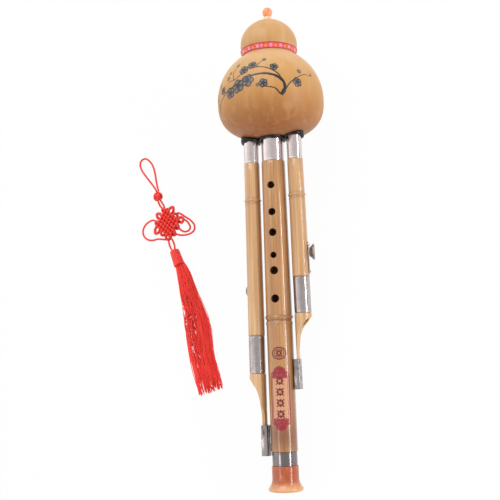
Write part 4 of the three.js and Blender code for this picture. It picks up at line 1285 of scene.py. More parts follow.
@dataclass
class GourdForm(Skin):
    """The gourd's outer surface with its slight unevenness."""

    uneven: float = 0.28
    fade: float = 12

    def radius(self, height: float | np.ndarray, wall: float = 0) -> np.ndarray:
        """The gourd's even radius.

        Args:
            height: The height, or several.
            wall: The thickness that is taken off for the inner side.

        Returns:
            The radius at each height.
        """
        rise = np.asarray(height, float) - LAYOUT.bulb_centre
        span = np.where(rise < 0, LAYOUT.bulb_depth, LAYOUT.bulb_rise) - wall
        power = np.where(rise < 0, LAYOUT.bulb_squareness, 2)
        share = np.minimum(1, np.abs(rise) / span)
        bulb = (LAYOUT.bulb_radius - wall) * (1 - share**power) ** (1 / power)
        lift = height - LAYOUT.crown_centre
        crown_span = np.where(lift < 0, LAYOUT.crown_radius, LAYOUT.crown_rise) - wall
        crown = (LAYOUT.crown_radius - wall) * np.sqrt(1 - np.minimum(1, np.abs(lift) / crown_span) ** 2)
        both = (bulb + crown + np.hypot(bulb - crown, LAYOUT.waist_fillet)) / 2
        return np.where((bulb == 0) | (crown == 0), np.maximum(bulb, crown), both)

    def waver(self, angle: np.ndarray, height: np.ndarray) -> np.ndarray:
        """What the unevenness adds to the radius. The back is a little flat.

        Args:
            angle: Angles from the front.
            height: Heights.

        Returns:
            The lengths to add.
        """
        swell = np.sin(2 * angle + 0.7) * np.cos((height - LAYOUT.bulb_centre) / 21)
        ripple = 0.4 * np.sin(3 * angle - height / 17) + 0.25 * np.sin(5 * angle + height / 9)
        back = np.exp(-(((angle % FULL_TURN) - math.pi) ** 2) / 0.5)
        fade = np.clip((LAYOUT.gourd_top - height) / self.fade, 0, 1)
        fade = fade * np.clip((height - LAYOUT.gourd_base - 4) / self.fade, 0, 1)
        return self.uneven * (swell + ripple) * fade * (1 - back) - self.uneven * back * fade

    def profile(self, wall: float, foot: float, mouth: float, steps: int) -> Outline:
        """The side from the pipe hole to the mouth hole, in steps closer where it bends.

        Args:
            wall: The thickness that is taken off for the inner side.
            foot: The pipe hole's radius.
            mouth: The mouth hole's radius.
            steps: How many steps each of its three stretches has.

        Returns:
            Pairs of radius and height.
        """
        side: Outline = []
        base = LAYOUT.bulb_depth - wall
        radius = LAYOUT.bulb_radius - wall
        first = math.acos((foot / radius) ** (LAYOUT.bulb_squareness / 2))
        for i in range(steps):
            share = math.sin(first * (1 - i / steps)) ** (2 / LAYOUT.bulb_squareness)
            height = LAYOUT.bulb_centre - base * share
            side.append((foot if i == 0 else float(self.radius(height, wall)), height))
        rise = LAYOUT.waist_height - LAYOUT.bulb_centre
        bend = math.asin(rise / LAYOUT.bulb_rise)
        for i in range(steps + 1):
            height = LAYOUT.bulb_centre + rise * math.sin(bend * i / steps) / math.sin(bend)
            side.append((float(self.radius(height, wall)), height))
        last = math.acos(mouth / (LAYOUT.crown_radius - wall))
        start = math.asin((LAYOUT.waist_height - LAYOUT.crown_centre) / LAYOUT.crown_radius)
        for i in range(1, steps + 1):
            turn = start + (last - start) * i / steps
            span = LAYOUT.crown_radius if turn < 0 else LAYOUT.crown_rise - wall
            height = LAYOUT.crown_centre + span * math.sin(turn)
            side.append((mouth if i == steps else float(self.radius(height, wall)), height))
        return side

    def laid(self, points: np.ndarray, lift: float | np.ndarray) -> np.ndarray:
        """Points brought onto the surface and lifted off it.

        Args:
            points: Points near the surface.
            lift: How far they are lifted, or one length for each.

        Returns:
            The moved points.
        """
        angle = np.arctan2(points[..., 0], points[..., 2])
        height = points[..., 1]
        radius = self.radius(height) + self.waver(angle, height)
        step = 0.05
        slope = (self.radius(height + step) - self.radius(height - step)) / (2 * step)
        flat = np.sqrt(1 + slope**2)
        out = np.stack([np.sin(angle) / flat, -slope / flat, np.cos(angle) / flat], axis=-1)
        return ringed(radius, angle, height) + out * np.asarray(lift)[..., None]

    def at(self, degrees: float | np.ndarray, height: float | np.ndarray) -> np.ndarray:
        """Points near the surface at an angle from the front and a height."""
        return ringed(self.radius(height), np.radians(degrees), height)


def ringed(radius: np.ndarray, angle: np.ndarray, height: float | np.ndarray) -> np.ndarray:
    """Points about the Y axis, at a radius, an angle from the front and a height."""
    level = np.broadcast_to(height, np.shape(angle))
    return np.stack([radius * np.sin(angle), level, radius * np.cos(angle)], axis=-1)


# The gourd


@dataclass
class Gourd:
    """The gourd, its painted branch and its waist ribbon."""

    sides: int = 144
    steps: int = 34
    form: GourdForm = field(default_factory=GourdForm)
    ribbon_width: float = 5.2
    ribbon_thickness: float = 0.7

    def build(self) -> None:
        """Makes the pieces and lets them ride."""
        foot = LAYOUT.ferrule_radius + LAYOUT.fit
        mouth = LAYOUT.mouth_radius + LAYOUT.fit / 2
        outside = self.form.profile(0, foot, mouth, self.steps)
        inside = self.form.profile(LAYOUT.gourd_wall, foot, mouth, self.steps // 2)[::-1]
        shell = turned(outside + inside + outside[:1], self.sides, self.form.waver)
        gourd = shell.piece("gourd_body", LAYOUT.place(), [GourdSkin("lacquered_gourd")])
        base = LAYOUT.gourd_base
        hole = rod(LAYOUT.side_ferrule_radius + LAYOUT.fit / 2, base - 30, base + 30, 48)
        holes = [hole.piece("drone_hole", side.place(), [CUT_FACE]) for side in (LEFT, RIGHT)]
        cut(gourd, holes, Cutting.TAKE_AWAY)
        settle(gourd, Body.INSTRUMENT, ["gourd_shell"])
        self.ribbon()
        Branch(self.form).build()

    def ribbon(self) -> None:
        """Makes the woven ribbon round the waist."""
        foot = LAYOUT.waist_height + LAYOUT.fit
        rises = np.linspace(0, self.ribbon_width, 9)

        def waver(angle: np.ndarray, height: np.ndarray) -> np.ndarray:
            """The gourd's unevenness, and a slack that grows towards the ribbon's upper edge."""
            return self.form.waver(angle, height) + 0.1 * np.sin(5 * angle) * (height - foot) / 5

        heights = [foot + rise for rise in rises]
        outer = [(float(self.form.radius(height)) + self.ribbon_thickness, height) for height in heights]
        inner = [(float(self.form.radius(foot + rise)) + 0.05, foot + rise) for rise in rises[::-1]]
        band = turned(softened([*outer, *inner, outer[0]], 0.22), 160, waver)
        brocade = Brocade("flower_brocade", self.ribbon_width)
        ribbon = band.piece("flower_ribbon", LAYOUT.place(), [brocade], 50)
        settle(ribbon, Body.INSTRUMENT, ["waist_ribbon"])


@dataclass
class Branch:
    """A flowering branch brushed on the gourd's front."""

    form: GourdForm
    black: list[Shape] = field(default_factory=list)
    grey: list[Shape] = field(default_factory=list)

    def build(self) -> None:
        """Makes the black strokes and the grey washes."""
        for line, start, end in self.boughs():
            points = smooth_line([self.form.at(*p) for p in line], 0.8)
            share = np.linspace(0, 1, len(points))
            grain = 1 + 0.16 * np.sin(share * 41 + start * 5) * np.sin(share * 17)
            self.black.append(self.form.stroke(points, (start + (end - start) * share**0.8) * grain))
        for blossom in self.blossoms():
            self.blossom(*blossom)
        for bud in self.buds():
            self.bud(*bud)
        layers = ((self.black, "branch_strokes", BLACK_INK), (self.grey, "blossom_washes", GREY_WASH))
        for shapes, name, finish in layers:
            painted = Shape.joined(shapes).piece(name, LAYOUT.place(), [finish], 60)
            settle(painted, Body.INSTRUMENT, [])

    @staticmethod
    def boughs() -> list[tuple[list[tuple[float, float]], float, float]]:
        """Each bough or twig as its line in degrees and heights, and its first and last width."""
        return [
            ([(27, 322.5), (31, 328), (29.5, 334), (22, 339), (10, 341.5), (-3, 341), (-13, 339)], 3.4, 1.5),
            ([(30, 332), (25, 340.5), (14, 346.5), (1, 348.5), (-12, 346.5), (-24, 341), (-34, 340.5)],
             1.4, 0.75),
            ([(29.5, 323.5), (33, 329), (38, 334), (44, 337.5), (51, 341)], 1.6, 0.6),
            ([(51, 341), (57, 342.5), (64, 342)], 0.75, 0.6),
            ([(26, 323.5), (21, 328), (14, 329.5), (5, 330.5)], 1.5, 0.5),
            ([(-13, 339), (-24, 335), (-33, 333.5), (-43, 329.5), (-52, 325), (-59, 319)], 1.6, 0.7),
            ([(-38, 332), (-46, 335), (-52, 340)], 0.85, 0.65),
            ([(-55, 323), (-61, 329), (-66, 334)], 0.85, 0.65),
            ([(-26, 340.8), (-29, 347), (-25, 353)], 0.85, 0.6),
            ([(1, 348.5), (4, 352), (9, 355)], 0.8, 0.6),
        ]

    @staticmethod
    def blossoms() -> list[tuple[float, float, float, float]]:
        """Each blossom's degrees, height, size and turn."""
        return [
            (-8, 337, 5.8, 0.2), (-19.5, 334, 6.2, 0.9), (-30.5, 330, 5, 1.7), (-14, 347.5, 4.4, 0.5),
            (-4, 351, 3.9, 1.2), (21, 347.5, 3.6, 0.1), (9, 333, 3.8, 0.8), (45, 334, 4.2, 1.9),
            (-44, 335, 3.6, 0.4),
        ]

    @staticmethod
    def buds() -> list[tuple[float, float, float]]:
        """Each bud's degrees, height and size."""
        return [
            (10, 355.5, 1.5), (-25, 354, 1.5), (-36, 344, 1.8), (49.5, 344.5, 1.9), (-52, 341.5, 1.4),
            (-67, 335.5, 1.5), (-60, 330, 1.3), (3, 331.8, 1.3), (-34, 348.5, 1.2), (66, 343.5, 1.2),
        ]

    def ring(self, centre: np.ndarray, size: float, count: int = 14) -> np.ndarray:
        """A round outline on the surface.

        Args:
            centre: A point near the surface.
            size: The outline's radius.
            count: How many points it has.

        Returns:
            Its points.
        """
        middle = self.form.laid(centre[None], 0.0)[0]
        out = self.form.laid(centre[None], 1.0)[0] - middle
        across = np.cross((0.0, 1.0, 0.0), out)
        across /= np.linalg.norm(across)
        up = np.cross(out, across)
        turn = np.linspace(0, FULL_TURN, count, endpoint=False)[:, None]
        return middle + size * (across * np.cos(turn) + up * np.sin(turn))

    def blossom(self, degrees: float, height: float, size: float, turn: float) -> None:
        """Brushes one five-petalled blossom: washed petals, their outlines and a dotted heart.

        Args:
            degrees: Its angle from the front.
            height: Its height.
            size: Its radius.
            turn: What decides where its first petal points.
        """
        centre = self.form.laid(self.form.at(degrees, height)[None], 0.0)[0]
        hub = self.ring(centre, size * 0.52, 10)
        start = int(turn * 2) % 2
        for k in range(5):
            petal = self.ring(hub[(2 * k + start) % 10], size * 0.43)
            self.grey.append(self.form.patch(petal, 0.04))
            rim = np.vstack([petal, petal[:2]])
            self.black.append(self.form.stroke(evenly(rim, 0.35), 0.75 + 0.35 * ((k * 7 + start) % 3) / 2))
        for spoke in hub[start::2]:
            line = np.array([centre, centre + (spoke - centre) * 0.8])
            self.black.append(self.form.stroke(evenly(line, 0.3), 0.25))
        self.black.append(self.form.patch(self.ring(centre, size * 0.13, 8), 0.08))

    def bud(self, degrees: float, height: float, size: float) -> None:
        """Brushes one closed bud.

        Args:
            degrees: Its angle from the front.
            height: Its height.
            size: Its radius.
        """
        outline = self.ring(self.form.at(degrees, height), size)
        self.grey.append(self.form.patch(outline, 0.04))
        self.black.append(self.form.stroke(evenly(np.vstack([outline, outline[:2]]), 0.35), 0.5))


# The mouthpiece


@dataclass
class Mouthpiece:
    """The resin tube on the gourd's top and its ball stopper."""

    bore: float = 2.1
    shown: float = 3.6
    length: float = 13
    ball: float = 4.45
    stem: float = 9
    collar_reach: float = 0.75
    collar_height: float = 1.4
    steps: int = 36

    def build(self) -> None:
        """Makes the tube and the stopper."""
        place = LAYOUT.place()
        outer = LAYOUT.mouth_radius
        foot, top = LAYOUT.gourd_top + self.shown - self.length, LAYOUT.gourd_top + self.shown
        pale = Resin("pale_resin", (250, 214, 190), (244, 196, 166), top - 5, top, 2, 0.5)
        wall = [(self.bore, foot), (outer, foot), (outer, top), (self.bore, top), (self.bore, foot)]
        low = LAYOUT.gourd_top - 0.7
        lip = [(outer, low), (outer + self.collar_reach, low), (outer + 0.4, low + 1.1),
               (outer - 0.05, low + self.collar_height), (outer - 0.05, low)]
        tubes = [turned(softened(wall, 0.45), 48), turned(softened(lip, 0.2), 48)]
        neck = Shape.joined(tubes).piece("mouth_tube", place, [pale])
        settle(neck, Body.INSTRUMENT, ["mouthpiece_tube"])
        rest = top + LAYOUT.fit
        centre = rest + math.sqrt(self.ball**2 - self.bore**2)
        stem = self.bore - LAYOUT.fit
        first = math.asin(stem / self.ball)
        low = rest - self.stem
        outline: Outline = [(0, low), (stem - 0.3, low), (stem, low + 0.5)]
        outline.append((stem, centre - self.ball * math.cos(first)))
        for i in range(1, self.steps):
            turn = first + (math.pi - first) * i / self.steps
            outline.append((self.ball * math.sin(turn), centre - self.ball * math.cos(turn)))
        outline.append((0.0, centre + self.ball))
        amber = Resin("amber_resin", (246, 168, 122), (240, 142, 92), centre - 5, centre + 4, 4, 0.7)
        knob = turned(outline, 64).piece("ball_stopper", place, [amber], 60)
        settle(knob, Body.MOUTH_STOPPER, ["mouth_stopper"])


# Pipes


def ridges(rise: float, bumps: Sequence[tuple[float, float, float, float]]) -> float:
    """How far a bamboo's node stands out.

    Args:
        rise: The height above the node's middle.
        bumps: Each bump's height, its middle, and its width above and below that.

    Returns:
        What is added to the radius.
    """
    total = 0.0
    for tall, middle, above, below in bumps:
        total += tall * math.exp(-(((rise - middle) / (above if rise > middle else below)) ** 2))
    return total


@dataclass
class PipeForm(Skin):
    """The main pipe's outer surface and its bore."""

    bumps: tuple[tuple[float, float, float, float], ...] = (
        (1, 0.45, 1.15, 0.9), (0.45, -4.5, 0.9, 0.9), (-0.35, -2.1, 0.5, 0.5),
    )
    node_reach: float = 8
    bore: float = 7.9
    upper_bore: float = 6.3
    partition: float = 3
    socket: float = 6

    def radius(self, height: float | np.ndarray) -> np.ndarray:
        """The plain radius at a height, without the node's ridges."""
        share = (np.asarray(height, float) - LAYOUT.node_height) / (LAYOUT.bamboo_top - LAYOUT.node_height)
        return LAYOUT.foot_radius + (LAYOUT.top_radius - LAYOUT.foot_radius) * np.clip(share, 0, 1)

    def laid(self, points: np.ndarray, lift: float | np.ndarray) -> np.ndarray:
        """Points brought onto the surface and lifted off it."""
        angle = np.arctan2(points[..., 0], points[..., 2])
        return ringed(self.radius(points[..., 1]) + lift, angle, points[..., 1])

    def at(self, arc: float | np.ndarray, height: float | np.ndarray) -> np.ndarray:
        """Points near the surface at an arc from the front and a height."""
        radius = self.radius(height)
        return ringed(radius, np.asarray(arc) / radius, height)

    def outline(self) -> Outline:
        """The whole outline of the pipe, outside and bore."""
        fit, edge, outer = LAYOUT.fit, LAYOUT.edge, LAYOUT.foot_radius
        node, foot, top = LAYOUT.node_height, LAYOUT.bamboo_foot, LAYOUT.bamboo_top
        tenon = LAYOUT.foot_ferrule_radius - LAYOUT.ferrule_wall - fit
        upper = LAYOUT.ferrule_radius - LAYOUT.ferrule_wall - fit
        low, high = LAYOUT.bell_length - self.socket + fit, LAYOUT.reed_top - self.partition
        side: Outline = [(tenon, low), (tenon, foot + fit), (outer - edge, foot + fit)]
        side += [(outer, foot + fit + edge), (outer, node - self.node_reach - 1)]
        for rise in np.linspace(-self.node_reach, self.node_reach, 41):
            side.append((float(self.radius(node + rise)) + ridges(rise, self.bumps), node + rise))
        above = node + self.node_reach + 1
        side += [(float(self.radius(above)), above), (LAYOUT.top_radius, top - edge)]
        side += [(LAYOUT.top_radius - edge / 2, top), (upper, top), (upper, LAYOUT.reed_top)]
        side += [(0, LAYOUT.reed_top), (0, high), (self.upper_bore, high), (self.upper_bore, top)]
        return side + [(self.bore, node), (self.bore, low), (tenon, low)]


@dataclass
class MainPipe:
    """The fingered bamboo pipe with its holes, its red panel, its ferrules and its bell."""

    hole_shares: tuple[float, ...] = (0.9107, 0.8161, 0.744, 0.6649, 0.6119, 0.5153)
    hole_diameters: tuple[float, ...] = (5.6, 5.6, 5.9, 4.8, 6.2, 6.2)
    thumb_share: float = 0.9364
    thumb_diameter: float = 6.2
    cord_shares: tuple[float, float] = (0.155, 0.085)
    cord_diameter: float = 4.6
    rim: tuple[tuple[float, float], ...] = (
        (1, -0.45), (1.04, -0.2), (1.12, -0.04), (1.25, 0.12), (1.25, 3), (0, 3),
    )
    form: PipeForm = field(default_factory=PipeForm)

    def build(self) -> None:
        """Makes the pipe and what sits on it."""
        golden = Bamboo("golden_bamboo", **GOLDEN, node_height=LAYOUT.node_height,
                        foot_height=LAYOUT.bamboo_foot, radius=LAYOUT.foot_radius)
        pipe = turned(self.form.outline(), 112).piece("bamboo_pipe", LAYOUT.place(), [golden, SHADED_HOLE_WALL])
        cutters = [self.hole(share, width, 1) for share, width in zip(self.hole_shares, self.hole_diameters)]
        cutters.append(self.hole(self.thumb_share, self.thumb_diameter, -1))
        cutters += [self.hole(share, self.cord_diameter, -1) for share in self.cord_shares]
        cut(pipe, cutters, Cutting.TAKE_AWAY)
        settle(pipe, Body.INSTRUMENT, ["main_pipe"])
        metal_sleeve("top_sleeve", "main_ferrule", LAYOUT.place(), LAYOUT.ferrule_radius, LAYOUT.bamboo_top,
                     LAYOUT.gourd_base + 2, BRIGHT_STEEL, 96)
        metal_sleeve("foot_sleeve", "foot_ferrule", LAYOUT.place(), LAYOUT.foot_ferrule_radius,
                     LAYOUT.bell_length, LAYOUT.bamboo_foot, GREY_STEEL, 96)
        RedPanel(self.form).build()

    def hole(self, share: float, diameter: float, way: int) -> bpy.types.Object:
        """A cutter for one hole, with a rounded rim that follows the pipe's surface.

        Args:
            share: Its height as a share of the bamboo's length.
            diameter: Its width.
            way: 1 for the front of the pipe, -1 for its back.

        Returns:
            The cutting object.
        """
        height = LAYOUT.bamboo_foot + LAYOUT.bamboo_length * share
        radius = float(self.form.radius(height))
        turn = np.linspace(0, FULL_TURN, 41)
        rows = []
        for wide, rise in ((0, None), (1, None), *self.rim):
            across, up = diameter / 2 * wide * np.cos(turn), diameter / 2 * wide * np.sin(turn)
            level = np.ones(len(turn)) if rise is None else np.sqrt(radius**2 - across**2) + rise
            rows.append(np.stack([across, height + up, way * level], axis=-1))
        return Shape.grid(np.array(rows), closed=True).piece("hole_cutter", LAYOUT.place(), [SHADED_HOLE_WALL])


def metal_sleeve(name: str, node: str, place: Matrix, radius: float, foot: float, top: float, finish: Metal,
                 sides: int) -> None:
    """Makes a thin metal sleeve with a faint bead rolled near each end.

    Args:
        name: The piece's name.
        node: The CAD node that it stands for.
        place: The frame whose Y axis it is turned about.
        radius: Its outer radius.
        foot: The height of the shoulder under it.
        top: The height of its top.
        finish: Its metal.
        sides: Faces round it.
    """
    wall, foot = LAYOUT.ferrule_wall, foot + LAYOUT.fit / 2
    bead = ((0.05, 0), (0, 0.3), (0, 1.0), (0.07, 1.3), (0, 1.6))
    outline = [(radius - wall, foot), *((radius - inset, foot + rise) for inset, rise in bead)]
    outline += [(radius - inset, top - rise) for inset, rise in reversed(bead)]
    outline += [(radius - wall, top), (radius - wall, foot)]
    sleeve = turned(softened(outline, 0.18), sides).piece(name, place, [finish])
    settle(sleeve, Body.INSTRUMENT, [node])


@dataclass
class RedPanel:
    """The red printed panel and ring on the pipe's front, with plain ornament in them."""

    form: PipeForm
    foot: float = 49.2
    top: float = 102
    half: float = 8.6
    cap: float = 9.5
    middle: float = 1.2
    ring_arc: float = 0.4
    ring_height: float = 112.5
    ring_radius: float = 5.9
    floret_step: float = 9
    arch_shares: tuple[tuple[float, float], ...] = (
        (0.16, 0.93), (0.34, 0.86), (0.5, 0.76), (0.55, 0.62), (0.6, 0.5), (0.78, 0.44), (0.93, 0.36),
        (1, 0.22), (1, 0),
    )
    scrolls: tuple[tuple[float, float, float, float], ...] = (
        (5.1, 0.12, 1.6, 1.3), (2.5, 0.47, 1.5, 1.3), (2.2, 0.06, 1.3, 1.2), (0.9, 0.7, 1.0, 1.2),
        (4.3, 0.32, 1.1, 1.2),
    )

    def build(self) -> None:
        """Makes the washes, the red frame and the brown florets."""
        red: list[Shape] = []
        brown: list[Shape] = []
        low, high = self.foot + self.cap, self.top - self.cap
        self.frame_lines(red)
        self.lace(high, 1, red)
        self.lace(low, -1, red)
        for step in range(4):
            self.floret(0, (self.top + self.foot) / 2 + 0.7 + (step - 1.5) * self.floret_step, 3.6, brown)
        for inset, width in ((0, 1.3), (1.75, 0.7)):
            self.line(self.circle(self.ring_radius - inset), width, brown)
        self.floret(self.ring_arc, self.ring_height, 3, brown)
        tint = [self.wash(self.foot + 1, self.top - 1, 0.02)]
        caps = [self.wash(self.foot + 1, low, 0.03), self.wash(high, self.top - 1, 0.03)]
        layers = ((tint, "panel_tint", SALMON_WASH), (caps, "panel_caps", ROSE_WASH),
                  (red, "panel_frame", RED_INK), (brown, "panel_florets", BROWN_INK))
        for shapes, name, finish in layers:
            printed = Shape.joined(shapes).piece(name, LAYOUT.place(), [finish], 60)
            settle(printed, Body.INSTRUMENT, [])

    def line(self, points: np.ndarray | Outline, width: float, into: list[Shape]) -> None:
        """Prints one line through points of arc and height."""
        fine = evenly(np.array(points, float), 0.5)
        into.append(self.form.stroke(self.form.at(fine[:, 0] + self.middle, fine[:, 1]), width, 0.04))

    def circle(self, radius: float) -> np.ndarray:
        """A circle round the ring above the panel, printed a little flat.

        Args:
            radius: Its radius across.

        Returns:
            Its points of arc and height.
        """
        turn = np.linspace(0, FULL_TURN, 33)
        arc, height = radius * np.cos(turn), 0.82 * radius * np.sin(turn)
        return np.stack([self.ring_arc + arc, self.ring_height + height], axis=-1)

    def wash(self, foot: float, top: float, height: float) -> Shape:
        """A wash as wide as the panel.

        Args:
            foot: Where it starts.
            top: Where it ends.
            height: How far it stands off the pipe.

        Returns:
            The wash as one broad stroke.
        """
        heights = np.linspace(foot, top, 60)
        side = np.vstack([self.arch(-1, 0.3)[9:], self.arch(1, 0.3)[9:]])
        order = np.argsort(side[:, 1], kind="stable")
        widths = 2 * np.interp(heights, side[order, 1], side[order, 0])
        line = self.form.at(np.full(len(heights), self.middle), heights)
        return self.form.stroke(line, np.maximum(widths, 0.2), height, 13)

    def arch(self, way: int, inset: float) -> np.ndarray:
        """One end of the frame: a lobed arch with a point.

        Args:
            way: 1 for the upper end, -1 for the lower one.
            inset: How far inside the panel's edge it runs.

        Returns:
            Its points of arc and height from left to right.
        """
        base = self.top - self.cap if way > 0 else self.foot + self.cap
        shares = [(-a, b) for a, b in reversed(self.arch_shares)] + [(0, 1), *self.arch_shares]
        return np.array([((self.half - inset) * a, base + way * (self.cap - inset) * b) for a, b in shares])

    def frame_lines(self, into: list[Shape]) -> None:
        """Prints the double line round the panel, and the short strokes between its two lines.

        Args:
            into: Where the lines go.
        """
        for inset, width in ((0.3, 1.25), (1.95, 0.6)):
            upper, lower = self.arch(1, inset), self.arch(-1, inset)
            self.line(np.vstack([upper, lower[::-1], upper[:1]]), width, into)
        for side in (-1, 1):
            for height in np.arange(self.foot + self.cap, self.top - self.cap, 1.35):
                stroke = [(side * (self.half - 0.6), height), (side * (self.half - 1.5), height + 0.7)]
                self.line(stroke, 0.3, into)

    def lace(self, base: float, way: int, into: list[Shape]) -> None:
        """Prints the scrolls that fill one end of the panel.

        Args:
            base: The height that they start from.
            way: 1 where they rise, -1 where they hang.
            into: Where the lines go.
        """
        reach = way * self.cap
        for side in (-1, 1):
            for arc, rise, radius, turns in self.scrolls:
                turn = np.linspace(0, FULL_TURN * turns, 30)
                share = 1 - 0.75 * turn / turn[-1]
                height = base + reach * rise + way * radius * share * np.sin(turn)
                across = side * (arc + radius * share * np.cos(turn))
                self.line(np.stack([across, height], axis=-1), 0.9, into)
            stem = ((6.6, 0.5), (5.6, 2.6), (3.9, 4.9), (1.6, 7.0))
            self.line([(side * arc, base + way * rise) for arc, rise in stem], 0.7, into)
            self.line([(side * 6.4, base), (side * 3.2, base - way * 0.7), (0, base)], 0.75, into)
        self.floret(0, base + reach * 0.3, 1.3, into)
        self.line([(0, base + reach * 0.5), (0, base + reach * 0.86)], 0.9, into)

    def floret(self, arc: float, height: float, size: float, into: list[Shape]) -> None:
        """Prints a four-leaved floret between four small bars.

        Args:
            arc: Its place across the panel.
            height: Its height.
            size: Its radius.
            into: Where its parts go.
        """
        for k in range(4):
            way = np.array([math.cos(math.pi / 2 * k), math.sin(math.pi / 2 * k)])
            side = np.array([-way[1], way[0]])
            leaf = np.array([way * 0.1, way * 0.6 + side * 0.46, way, way * 0.6 - side * 0.46]) * size
            outline = leaf + (arc + self.middle, height)
            into.append(self.form.patch(self.form.at(outline[:, 0], outline[:, 1]), 0.04))
            bar = np.array([way + side, way * 0.35 + side * 0.35]) * size * 0.85 + (arc, height)
            self.line(evenly(bar, 0.2), size * 0.38, into)


@dataclass
class Bell:
    """The flared resin bell at the pipe's foot."""

    radius: float = 11.15
    rim_radius: float = 14.7
    rim_height: float = 2.2
    flare: float = 8.5
    bore: float = 7.9
    socket: float = 6

    def build(self) -> None:
        """Makes the bell."""
        top, rim = LAYOUT.bell_length, self.rim_radius
        tenon = LAYOUT.foot_ferrule_radius - LAYOUT.ferrule_wall
        side: Outline = [(rim - 1.0, 0), (rim - 0.35, 0.5), (rim, 1.5), (rim - 0.1, self.rim_height)]
        for share in np.linspace(0.12, 1, 12):
            height = self.rim_height + (self.flare + 1.5 - self.rim_height) * share
            side.append((self.radius + (rim - self.radius) * 0.94 * (1 - share) ** 1.9, height))
        side += [(self.radius, top - 0.35), (self.radius - 0.3, top), (tenon, top)]
        side += [(tenon, top - self.socket), (self.bore, top - self.socket), (self.bore, self.flare)]
        side += [(9.2, 4.4), (rim - 3.2, 0.3)]
        side += [(rim - 2.6, 0), (rim - 1.0, 0)]
        resin = Resin("bell_resin", (224, 166, 116), (176, 84, 44), low=0.6, high=9.5, depth=2.5, inner=0.25)
        bell = turned(softened(side, 0.25), 112).piece("flared_bell", LAYOUT.place(), [resin], 42)
        settle(bell, Body.INSTRUMENT, ["foot_bell"])


@dataclass
class Seals:
    """The black compound where the pipes enter the gourd."""

    heights: tuple[float, float, float] = (1.7, 2.2, 0.3)
    sag: float = 1.1
    spread: float = 2.1
    seed: int = 11
    profile: tuple[Triple, ...] = (
        (0.02, 0.45, 1), (0.3, 0.05, 1), (0.66, 0.2, 0.8), (0.93, 0.8, 0.6), (1.05, 1.6, 0.3), (1, 2.4, 0),
    )

    def build(self) -> None:
        """Makes one uneven bead round each ferrule."""
        rng = np.random.default_rng(self.seed)
        beads = [self.bead(LAYOUT.ferrule_radius, self.heights[0], Matrix.Identity(4), rng)]
        for side, height in zip((LEFT, RIGHT), self.heights[1:]):
            beads.append(self.bead(LAYOUT.side_ferrule_radius, height, side.local_place(), rng))
        seal = Shape.joined(beads).piece("black_seal", LAYOUT.place(), [Sealant("black_sealant")], 60)
        settle(seal, Body.INSTRUMENT, ["pipe_seal"])

    def bead(self, radius: float, height: float, place: Matrix, rng: np.random.Generator) -> Shape:
        """One bead from a ferrule up to the gourd's skin.

        Args:
            radius: The ferrule's outer radius.
            height: How far it reaches down below the gourd at its front.
            place: The ferrule's frame in the instrument's own, in millimetres.
            rng: What makes it uneven.

        Returns:
            The closed bead in the instrument's own frame.
        """
        turn = np.linspace(0, FULL_TURN, 73)
        waves = [rng.uniform(-1, 1, 2) for _ in range(5)]
        lump = sum(a * np.sin((k + 2) * turn + 3 * b) for k, (a, b) in enumerate(waves)) / 2.6
        drip = sum(a * np.cos((k + 3) * turn + 5 * b) for k, (a, b) in enumerate(waves)) / 2.6
        foot = LAYOUT.gourd_base - height - self.sag * (1 - np.cos(turn))
        base = np.array(place.to_3x3())
        shift = np.array(place.translation)

        def ring(out: float, level: np.ndarray, lumpy: bool) -> np.ndarray:
            """One ring of the bead in the instrument's own frame."""
            reach = radius + 0.02 + self.spread * out * (1 + 0.16 * lump * lumpy)
            return ringed(reach, turn, level) @ base.T + shift

        rows = [ring(out, foot + rise + 0.55 * drip * loose, out > 0.1) for out, rise, loose in self.profile]
        for out in (0.9, 0.45, 0.02):
            row = ring(out, foot, True)
            square = LAYOUT.bulb_squareness
            share = np.minimum(np.hypot(row[:, 0], row[:, 2]) / LAYOUT.bulb_radius, 1) ** square
            skin = LAYOUT.bulb_centre - LAYOUT.bulb_depth * (1 - share) ** (1 / square)
            row[:, 1] = skin + (0.5 if out > 0.5 else 0.9)
            rows.append(row)
        return Shape.grid(np.array([*rows, rows[0]]), closed=True)


# Drones


